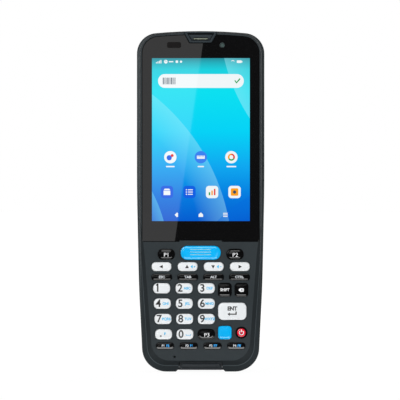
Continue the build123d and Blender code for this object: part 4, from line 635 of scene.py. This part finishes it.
key_marks("key_erase", "cross", [moved(turned_bar(CROSS_LENGTH, CROSS_LINE, angle), CROSS_ACROSS, 0)
                                 for angle in (45, 135)], ink_black, LEGEND_Y - LAYER)
key_marks("key_power", "ring", [band(POWER_RING, POWER_LINE, 125, 415)], ink_white)
key_marks("key_power", "bar", [moved(bar(POWER_LINE, 1.4), 0, 1.0)], ink_white)

# ==== Screen: a plain launcher of soft arcs, tiles and pictograms =====================================================
SCREEN_LEFT, SCREEN_RIGHT = -26.0, 26.25
SCREEN_LOW, SCREEN_HIGH = 80.5, 167.5
SCREEN_Y = PANEL_Y - LAYER
TILE_Y = SCREEN_Y - LAYER
MARK_Y = TILE_Y - LAYER
TOP_MARK_Y = MARK_Y - LAYER
# Height on the screen as a share of it, and the colour there.
SKY_STOPS = ((0.0, (0, 92, 208)), (0.16, (0, 124, 224)), (0.34, (10, 168, 240)), (0.55, (0, 210, 246)),
             (0.8, (6, 224, 240)), (0.93, (26, 208, 222)), (0.97, (34, 178, 192)), (1.0, (40, 140, 154)))
# Discs that tint the sky towards their edge: centre, radius, width of the fade, tint and strength.
SKY_DISCS = (((-95, 60), 78, 9.0, (120, 232, 250), 0.35), ((-95, 60), 112, 16.0, (150, 240, 252), 0.30),
             ((70, 20), 86, 14.0, (0, 108, 220), 0.55), ((110, 190), 100, 20.0, (150, 240, 250), 0.35))


def wallpaper():
    """Blue at the foot, cyan above, crossed by soft arcs."""
    material = lit("wallpaper", 0, 0, 0)
    tree = material.node_tree
    tones = tree.nodes.new("ShaderNodeValToRGB")
    while len(tones.color_ramp.elements) < len(SKY_STOPS):
        tones.color_ramp.elements.new(0.5)
    for element, (position, colour) in zip(tones.color_ramp.elements, SKY_STOPS):
        element.position = position
        element.color = shade(*colour)
    height = ranged(tree, object_axis(tree, "Z"), (SCREEN_LOW * MM, SCREEN_HIGH * MM))
    tree.links.new(height, tones.inputs["Fac"])
    colour = tones.outputs["Color"]
    place = object_place(tree)
    for centre, radius, width, tint, strength in SKY_DISCS:
        offset = tree.nodes.new("ShaderNodeVectorMath")
        offset.operation = "DISTANCE"
        offset.inputs[1].default_value = (centre[0] * MM, SCREEN_Y * MM, centre[1] * MM)
        tree.links.new(place, offset.inputs[0])
        away = offset.outputs["Value"]
        fade = ranged(tree, away, ((radius - width) * MM, radius * MM), (0.0, strength))
        weight = maths(tree, "MULTIPLY", fade, maths(tree, "LESS_THAN", away, radius * MM))
        colour = mixed(material, weight, colour, shade(*tint))
    tree.links.new(colour, tree.nodes["Principled BSDF"].inputs["Emission Color"])
    return material


light_white = lit("light_white", 240, 246, 248)
light_blue = lit("light_blue", 16, 96, 226)
light_sky = lit("light_sky", 60, 130, 240)
light_red = lit("light_red", 226, 48, 40)
light_orange = lit("light_orange", 250, 160, 30)
light_green = lit("light_green", 30, 160, 80)
light_slate = lit("light_slate", 60, 80, 100)

flat_marks("screen_wallpaper", [[(SCREEN_LEFT, SCREEN_LOW), (SCREEN_RIGHT, SCREEN_LOW), (SCREEN_RIGHT, SCREEN_HIGH),
                                 (SCREEN_LEFT, SCREEN_HIGH)]], SCREEN_Y, wallpaper())

TILE = 6.6
TILE_SIZE = (TILE, TILE, 1.7)
UPPER_ROW_X, UPPER_ROW_Z = (-16.2, 0.1, 16.4), 114.6
LOWER_ROW_X, LOWER_ROW_Z = (-18.0, -6.0, 6.1, 18.1), 96.0
FIELD_CENTRE, FIELD_SIZE = (0.15, 155.3), (45.8, 7.4, 3.6)
CAPTION_WIDTHS = (4.6, 3.4, 5.2)
CAPTION_HEIGHT, CAPTION_CORNER = 0.7, 0.3
CAPTION_DROP = 5.0
NAV_ROW = 83.8
NAV_CHEVRON = [(-13.9, 0), (-12.6, 1.3), (-12.1, 0.9), (-13.0, 0), (-12.1, -0.9), (-12.6, -1.3)]
NAV_HOUSE = [(-1.1, -1.1), (1.3, -1.1), (1.3, 0.2), (0.1, 1.3), (-1.1, 0.2)]
NAV_LINE, NAV_LINES_X, NAV_LINE_PITCH = (2.4, 0.45), 13.2, 0.85
STATUS_ROW = 165.6
SIGNAL_BARS = 4
SIGNAL_LEFT, SIGNAL_PITCH = -23.6, 0.8
SIGNAL_WIDTH, SIGNAL_HEIGHT, SIGNAL_STEP = 0.5, 0.6, 0.4
PARCEL_LID = [(-1.8, 0.9), (1.8, 0.9), (1.2, 1.8), (-1.2, 1.8)]
LIST_PITCH = 1.2

# Tiles: an entry field, a row of discs and a row of rounded squares.
field = moved(rounded(*FIELD_SIZE), *FIELD_CENTRE)
pin_disc, ruler_disc, ring_disc = (moved(disc(TILE / 2), x, UPPER_ROW_Z) for x in UPPER_ROW_X)
parcel_tile, list_tile, chart_tile, target_tile = (moved(rounded(*TILE_SIZE), x, LOWER_ROW_Z) for x in LOWER_ROW_X)
flat_marks("screen_white_tiles", [field, pin_disc, ring_disc, chart_tile, target_tile], TILE_Y, light_white)
flat_marks("screen_blue_tiles", [parcel_tile, list_tile], TILE_Y, light_blue)
flat_marks("screen_sky_tile", [ruler_disc], TILE_Y, light_sky)

# Captions stand as plain strips.
white_marks = [moved(rounded(width, CAPTION_HEIGHT, CAPTION_CORNER), x, UPPER_ROW_Z - CAPTION_DROP)
               for x, width in zip(UPPER_ROW_X, CAPTION_WIDTHS)]

# Status row: rising bars, a ring, a strip, a tile and a dot at the left, an arc and a battery at the right.
for step in range(SIGNAL_BARS):
    white_marks.append(moved(bar(SIGNAL_WIDTH, SIGNAL_HEIGHT + SIGNAL_STEP * step), SIGNAL_LEFT + SIGNAL_PITCH * step,
                             STATUS_ROW - SIGNAL_HEIGHT + SIGNAL_STEP / 2 * step))
for outline, across, up in ((band(0.85, 0.3, 0, 350), -18.6, 0), (bar(2.4, 0.6), -15.8, 0),
                            (rounded(1.3, 1.3, 0.3), -12.7, 0), (disc(0.6, SMALL_DISC_STEPS), -10.5, 0),
                            (band(0.75, 0.35, 20, 160), 17.2, -0.1), (rounded(2.6, 1.4, 0.3), 20.6, 0),
                            (bar(0.35, 0.7), 22.15, 0)):
    white_marks.append(moved(outline, across, STATUS_ROW + up))

# Bottom row: chevron, house, three lines.
white_marks += [moved(NAV_CHEVRON, 0, NAV_ROW), moved(NAV_HOUSE, 0, NAV_ROW)]
for step in (-1, 0, 1):
    white_marks.append(moved(bar(*NAV_LINE), NAV_LINES_X, NAV_ROW + NAV_LINE_PITCH * step))

# Pictograms on the blue tiles, a parcel and a list, and a ruler on the sky one.
pin_x, ruler_x, ring_x = UPPER_ROW_X
parcel_x, list_x, chart_x, target_x = LOWER_ROW_X
white_marks.append(moved(bar(3.6, 2.3), parcel_x, LOWER_ROW_Z - 0.5))
white_marks.append(moved(PARCEL_LID, parcel_x, LOWER_ROW_Z))
for step in (-1, 0, 1):
    white_marks.append(moved(bar(2.6, 0.5), list_x + 0.5, LOWER_ROW_Z + LIST_PITCH * step))
    white_marks.append(moved(bar(0.6, 0.6), list_x - 1.6, LOWER_ROW_Z + LIST_PITCH * step))
white_marks.append(moved(bar(4.2, 1.7), ruler_x, UPPER_ROW_Z))
flat_marks("screen_white_marks", white_marks, MARK_Y, light_white)

# Barcode at the field's left, tick at its right.
BARCODE = (0.5, 0.25, 0.25, 0.5, 0.35, 0.25, 0.6, 0.25, 0.4, 0.25)
BARCODE_HEIGHT = 3.6
BARCODE_GAP = 0.35
BARCODE_LEFT = -20.2
TICK_X = 19.6
TICK_STROKES = ([(-1.6, 0.1), (-0.5, -1.4), (-0.5, -0.5), (-1.1, 0.5)],
                [(-0.5, -1.4), (1.7, 1.0), (1.2, 1.5), (-0.5, -0.5)])
slate_marks = []
across = BARCODE_LEFT
for width in BARCODE:
    slate_marks.append(moved(bar(width, BARCODE_HEIGHT), across + width / 2, FIELD_CENTRE[1]))
    across += width + BARCODE_GAP
flat_marks("screen_barcode", slate_marks, MARK_Y, light_slate)
tick = [moved(stroke, TICK_X, FIELD_CENTRE[1]) for stroke in TICK_STROKES]

# Coloured pictograms: two dots, a ring of three colours, a bar chart, a target, and the ruler's scale.
RING_RADIUS, RING_WIDTH = 1.5, 0.8
CHART_BAR = 0.8
CHART_PITCH = 1.4
TARGET_SQUARE, TARGET_DOT = (4.0, 4.0, 0.6), 0.9
SCALE_LINE = (0.25, 0.8)
SCALE_PITCH = 0.75


def ring_third(start):
    """Third of the ring, from an angle in degrees."""
    return moved(band(RING_RADIUS, RING_WIDTH, start, start + 120), ring_x, UPPER_ROW_Z)


def chart_bar(column, height, rise):
    """Bar of the chart, by its column from the middle, its height and its middle's rise."""
    return moved(bar(CHART_BAR, height), chart_x + column * CHART_PITCH, LOWER_ROW_Z + rise)


flat_marks("screen_green_marks", [*tick, ring_third(210), chart_bar(-1, 1.6, -0.9)], MARK_Y, light_green)
flat_marks("screen_orange_marks", [chart_bar(0, 2.5, -0.45), moved(rounded(*TARGET_SQUARE), target_x, LOWER_ROW_Z),
                                   ring_third(90)], MARK_Y, light_orange)
flat_marks("screen_red_marks", [chart_bar(1, 3.4, 0), ring_third(-30),
                                moved(disc(0.8), pin_x + 1.0, UPPER_ROW_Z + 0.9)], MARK_Y, light_red)
flat_marks("screen_pin_marks", [moved(disc(1.4), pin_x - 0.6, UPPER_ROW_Z - 0.3)], MARK_Y, light_blue)
flat_marks("screen_scale_marks", [moved(bar(*SCALE_LINE), ruler_x + step * SCALE_PITCH, UPPER_ROW_Z + 0.4)
                                  for step in (-2, -1, 0, 1, 2)], TOP_MARK_Y, light_sky)
flat_marks("screen_target_marks", [moved(disc(TARGET_DOT), target_x, LOWER_ROW_Z)], TOP_MARK_Y, light_slate)

# ==== Glass details: sensor window, front camera, receiver ============================================================
SENSOR_CENTRE = (-14.2, 174.5)
SENSOR_SIZE = (7.5, 3.2, 1.0)
CAMERA_CENTRE = (11.6, 174.4)
CAMERA_RING = 1.4
CAMERA_LENS = 0.8
# Rims as (inset, rise above the glass).
RING_RIM = ((0, 0), (0, 0.03), (0.08, 0.06), (0.3, 0.06), (0.55, 0.02))
LENS_RIM = ((0, 0.02), (0.12, 0.05), (0.35, 0.08), (0.6, 0.09))
sensor_dark, _ = principled("sensor_window_ink", shade(16, 13, 13), 0.6, specular=0.12)
ring_grey = brushed("camera_ring", shade(58, 68, 68), 0.4)
lens_grey = glossy("camera_lens", shade(60, 78, 76), roughness=0.08)
flat_marks("sensor_window", [moved(rounded(*SENSOR_SIZE), *SENSOR_CENTRE)], PANEL_Y - LAYER, sensor_dark)
for name, radius, rim, material in (("front_camera_ring", CAMERA_RING, RING_RIM, ring_grey),
                                    ("front_camera_lens", CAMERA_LENS, LENS_RIM, lens_grey)):
    rim_piece(name, CAMERA_CENTRE, round_size(radius), [(inset, PANEL_Y - rise) for inset, rise in rim], material)

# The receiver's lip is light grey as a painted highlight of the metal mesh's reflection.
RECEIVER_CENTRE = (0.0, 177.9)
RECEIVER_SIZE = (8.2, 1.4, 0.68)
RECEIVER_LIP_CENTRE = (0.0, 177.85)
RECEIVER_LIP_SIZE = (7.6, 0.55, 0.26)
# The recess's floor, and rims as (inset, depth below it).
RECEIVER_Y = -11.4
MESH_RIM = ((0, 0.6), (0, 0.42), (0.1, 0.36), (0.3, 0.34))
LIP_RIM = ((0, 0.36), (0, 0.16), (0.06, 0.08), (0.14, 0.05))
for name, centre, size, rim, material in (
        ("receiver_mesh", RECEIVER_CENTRE, RECEIVER_SIZE, MESH_RIM, black_plastic),
        ("receiver_lip", RECEIVER_LIP_CENTRE, RECEIVER_LIP_SIZE, LIP_RIM, receiver_highlight_paint)):
    rim_piece(name, centre, size, [(inset, RECEIVER_Y + depth) for inset, depth in rim], material)

# Painted shadow in the gap round the plate in the bezel's recess, widest under its top edge.
RECESS_TOP, RECESS_TOP_HALF = 180.85, 7.3
RECESS_FOOT, RECESS_FOOT_HALF = 176.9, 4.9
SHADOW_TOP = 0.8
SHADOW_SIDE = 0.4


def recess_half(z):
    """Half the recess's width at a height."""
    return RECESS_FOOT_HALF + (RECESS_TOP_HALF - RECESS_FOOT_HALF) * (z - RECESS_FOOT) / (RECESS_TOP - RECESS_FOOT)


shadow_low, shadow_high = RECESS_FOOT + SHADOW_SIDE, RECESS_TOP - SHADOW_TOP
shadow_lines = [[(-RECESS_TOP_HALF, RECESS_TOP), (RECESS_TOP_HALF, RECESS_TOP),
                 (recess_half(shadow_high), shadow_high), (-recess_half(shadow_high), shadow_high)],
                [(-recess_half(shadow_low), shadow_low), (recess_half(shadow_low), shadow_low),
                 (RECESS_FOOT_HALF, RECESS_FOOT), (-RECESS_FOOT_HALF, RECESS_FOOT)]]
for hand in (-1, 1):
    shadow_lines.append([(hand * RECESS_TOP_HALF, RECESS_TOP), (hand * RECESS_FOOT_HALF, RECESS_FOOT),
                         (hand * (RECESS_FOOT_HALF - SHADOW_SIDE), RECESS_FOOT),
                         (hand * (RECESS_TOP_HALF - SHADOW_SIDE), RECESS_TOP)])
gap_painted_shadow, _ = principled("bezel_gap_shadow", shade(4, 5, 7), 0.8, specular=0.0)
# The slanting lines cross the level ones, so they stand one layer in front.
for index, line in enumerate(shadow_lines):
    flat_marks(f"bezel_gap_{index}", [line], RECEIVER_Y - LAYER * (1 + index // 2), gap_painted_shadow)

# ==== Back: camera lens, lamp lens ====================================================================================
REAR_CAMERA = (0.0, 150.53)
LAMP_PLACE = (10.0, 150.53)
# Domes: radius, start behind the face, and crown. Their rims are shares of the radius and of the crown.
REAR_LENS_DOME = (2.15, 0.02, 0.2)
LAMP_DOME = (1.75, 0.0, 0.12)
DOME_RIM = ((0, 0), (0, 0.4), (0.12, 0.75), (0.4, 1))
lamp_plastic = glossy("lamp_lens", shade(236, 228, 176), roughness=0.2)


def back_dome(name, centre, dome, material):
    """Low dome that faces away from the user."""
    radius, start, crown = dome
    rim_piece(name, centre, round_size(radius),
              [(radius * inset, REAR_FACE_Y + start + crown * rise) for inset, rise in DOME_RIM], material)


back_dome("rear_camera_lens", REAR_CAMERA, REAR_LENS_DOME, lens_glass)
back_dome("lamp_lens", LAMP_PLACE, LAMP_DOME, lamp_plastic)

# ==== Stage: world, floor, lamps, cards and camera ====================================================================
WHITE_LIGHT = (1, 1, 1, 1)


def see_through_rays(tree):
    """1 for the rays that should find plain white: camera, mirror and transmission."""
    paths = tree.nodes.new("ShaderNodeLightPath").outputs
    seen = maths(tree, "MAXIMUM", paths["Is Camera Ray"], paths["Is Glossy Ray"])
    return maths(tree, "MAXIMUM", seen, paths["Is Transmission Ray"])


AMBIENT = 0.28
world = bpy.data.worlds.new("studio")
bpy.context.scene.world = world
world.use_nodes = True
tree = world.node_tree
background = tree.nodes["Background"]
background.inputs["Color"].default_value = WHITE_LIGHT
tree.links.new(ranged(tree, see_through_rays(tree), end=(AMBIENT, 1.0)), background.inputs["Strength"])

FLOOR_HALF = 30.0
FLOOR_Z = -0.0001
FLOOR_COLOUR = (0.9, 0.9, 0.9, 1)
# Share of the floor's white that is its own glow, and that glow's strength near and far from the object, in metres.
FLOOR_GLOW = 0.9
FLOOR_WHITE = (1.05, 1.12)
FLOOR_FADE = (0.4, 1.6)
floor_paint, floor_surface = principled("floor_paint", FLOOR_COLOUR, 1.0, specular=0.0)
tree = floor_paint.node_tree
glow = tree.nodes.new("ShaderNodeEmission")
glow.inputs["Color"].default_value = WHITE_LIGHT
distance = tree.nodes.new("ShaderNodeVectorMath")
distance.operation = "LENGTH"
tree.links.new(object_place(tree), distance.inputs[0])
tree.links.new(ranged(tree, distance.outputs["Value"], FLOOR_FADE, FLOOR_WHITE), glow.inputs["Strength"])
blend = tree.nodes.new("ShaderNodeMixShader")
tree.links.new(maths(tree, "MULTIPLY", see_through_rays(tree), FLOOR_GLOW), blend.inputs["Fac"])
tree.links.new(floor_surface.outputs["BSDF"], blend.inputs[1])
tree.links.new(glow.outputs["Emission"], blend.inputs[2])
tree.links.new(blend.outputs["Shader"], tree.nodes["Material Output"].inputs["Surface"])


def sheet(name, corners, material):
    """One face that belongs to the stage."""
    mesh = bmesh.new()
    mesh.faces.new([mesh.verts.new(corner) for corner in corners])
    return placed(name, mesh_data(name, mesh, material))


def level_corners(half, front, back, height):
    """Corners of a level rectangle that faces up, in metres."""
    return [(-half, front, height), (half, front, height), (half, back, height), (-half, back, height)]


floor = sheet("floor", level_corners(FLOOR_HALF, -FLOOR_HALF, FLOOR_HALF, FLOOR_Z), floor_paint)

# Square lamps aimed at the middle of the object: place, side, power, and whether gloss shows them.
TARGET = Vector((0, 0, 0.09))
LAMPS = (
    ("key_light", (-0.8, -2.0, 0.65), 0.7, 28.0, True),
    ("right_light", (1.5, -0.4, 0.3), 0.5, 7.0, False),
    ("back_left_light", (-0.7, 1.3, 0.35), 0.6, 14.0, False),
    ("back_right_light", (0.7, 1.3, 0.35), 0.6, 14.0, False),
)
for name, place, side, power, in_gloss in LAMPS:
    lamp = bpy.data.lights.new(name, "AREA")
    lamp.shape = "SQUARE"
    lamp.size = side
    lamp.energy = power
    holder = placed(name, lamp)
    holder.location = place
    holder.rotation_euler = (TARGET - holder.location).to_track_quat("-Z", "Y").to_euler()
    holder.visible_glossy = in_gloss


def reflector(name, corners, radiance, one_way=False):
    """Card that only gloss shows: dark as a flag, bright as a strip light. A one-way card is clear from behind."""
    paint = bpy.data.materials.new(name)
    paint.use_nodes = True
    nodes, links = paint.node_tree.nodes, paint.node_tree.links
    nodes.remove(nodes["Principled BSDF"])
    light = nodes.new("ShaderNodeEmission")
    light.inputs["Color"].default_value = WHITE_LIGHT
    light.inputs["Strength"].default_value = radiance
    surface = light.outputs["Emission"]
    if one_way:
        sides = nodes.new("ShaderNodeMixShader")
        links.new(nodes.new("ShaderNodeNewGeometry").outputs["Backfacing"], sides.inputs["Fac"])
        links.new(surface, sides.inputs[1])
        links.new(nodes.new("ShaderNodeBsdfTransparent").outputs["BSDF"], sides.inputs[2])
        surface = sides.outputs["Shader"]
    links.new(surface, nodes["Material Output"].inputs["Surface"])
    card = sheet(name, corners, paint)
    card.visible_camera = False
    card.visible_diffuse = False
    card.visible_shadow = False
    card.visible_transmission = False


camera_far = PHOTO_WIDTH * PIXEL_MM * MM * LENS / SENSOR
view_x = (PHOTO_WIDTH / 2 - CENTRE_COLUMN) * PIXEL_MM * MM
view_z = (GROUND_ROW - PHOTO_WIDTH / 2) * PIXEL_MM * MM

# A dark tent stands round the object, seen in gloss only. Its front has a gap that is mirrored in the left of the
# glass. The gap is given in millimetres by the points of the glass where its edges show. Its right edge slants.
TENT_FAR = 0.25
TENT_FRONT = PANEL_Y * MM - TENT_FAR
TENT_REACH = 0.75
DARK = 0.05
EDGE_HIGH = (1.25, 175.6)
EDGE_LOW = (-13.7, 70.4)
GAP_LEFT = -36.0
GAP_LOW = 69.0
GAP_HIGH = 184.0


def mirrored(x, z):
    """Where the ray from the camera by that point of the glass meets the tent's front, across and up."""
    growth = 1 + TENT_FAR / camera_far
    return view_x + (x * MM - view_x) * growth, view_z + (z * MM - view_z) * growth


def edge_at(z):
    """Where the gap's slanting edge is mirrored from, for a height on the glass."""
    share = (z - EDGE_LOW[1]) / (EDGE_HIGH[1] - EDGE_LOW[1])
    return mirrored(EDGE_LOW[0] + share * (EDGE_HIGH[0] - EDGE_LOW[0]), z)


def tent_card(name, *corners):
    """Dark upright card in the tent's front, by corners across and up."""
    reflector(name, [(x, TENT_FRONT, z) for x, z in corners], DARK)


def tent_panel(name, left, right, low, high):
    """Upright rectangle in the tent's front."""
    tent_card(name, (left, low), (right, low), (right, high), (left, high))


(gap_left, gap_low), (_, gap_high) = mirrored(GAP_LEFT, GAP_LOW), mirrored(GAP_LEFT, GAP_HIGH)
tent_panel("tent_left", -TENT_REACH, gap_left, 0.0, TENT_REACH)
tent_panel("tent_low", gap_left, TENT_REACH, 0.0, gap_low)
tent_panel("tent_high", gap_left, TENT_REACH, gap_high, TENT_REACH)
edge_low, edge_high = edge_at(GAP_LOW), edge_at(GAP_HIGH)
tent_card("tent_right", edge_low, (TENT_REACH, edge_low[1]), (TENT_REACH, edge_high[1]), edge_high)

TENT_FLOOR_Z = 0.0008
TENT_SIDE = 0.4
TENT_ROOF = 0.5
TENT_BACK = 0.35
reflector("tent_floor", level_corners(TENT_REACH, TENT_FRONT, KEY_FACE_Y * MM, TENT_FLOOR_Z), DARK)
for name, x in (("tent_left_wing", -TENT_SIDE), ("tent_right_wing", TENT_SIDE)):
    reflector(name, ((x, TENT_FRONT, 0.0), (x, TENT_BACK, 0.0), (x, TENT_BACK, TENT_ROOF), (x, TENT_FRONT, TENT_ROOF)),
              DARK)
reflector("tent_roof", level_corners(TENT_SIDE, TENT_FRONT, TENT_BACK, TENT_ROOF), DARK)

# Strips whose light the facets that lean a third of a right angle down or up throw to the front. Each is given by
# half its width, its front, its back and its height, in metres.
LOW_STRIP = (0.05, -0.055, -0.018, 0.0016)
LOW_STRIP_RADIANCE = 4.5
TOP_STRIP = (0.12, -0.16, -0.10, 0.30)
TOP_STRIP_RADIANCE = 4.0
reflector("low_strip", level_corners(*LOW_STRIP), LOW_STRIP_RADIANCE)
reflector("top_strip", level_corners(*TOP_STRIP), TOP_STRIP_RADIANCE)

# From high up the glass would mirror the low strip, which a flag between the glass and the keys hides. What the keys
# mirror comes from behind the flag and passes.
GLASS_FLAG = (0.055, -0.056, -0.0135, 0.0677)
reflector("glass_flag", level_corners(*GLASS_FLAG), DARK, one_way=True)

camera_data = bpy.data.cameras.new("camera")
camera_data.lens = LENS
camera_data.sensor_width = SENSOR
camera = placed("camera", camera_data)
camera.location = (view_x, PANEL_Y * MM - camera_far, view_z)
camera.rotation_euler = (math.radians(90), 0, 0)
bpy.context.scene.camera = camera
bpy.context.scene.view_settings.view_transform = "Standard"
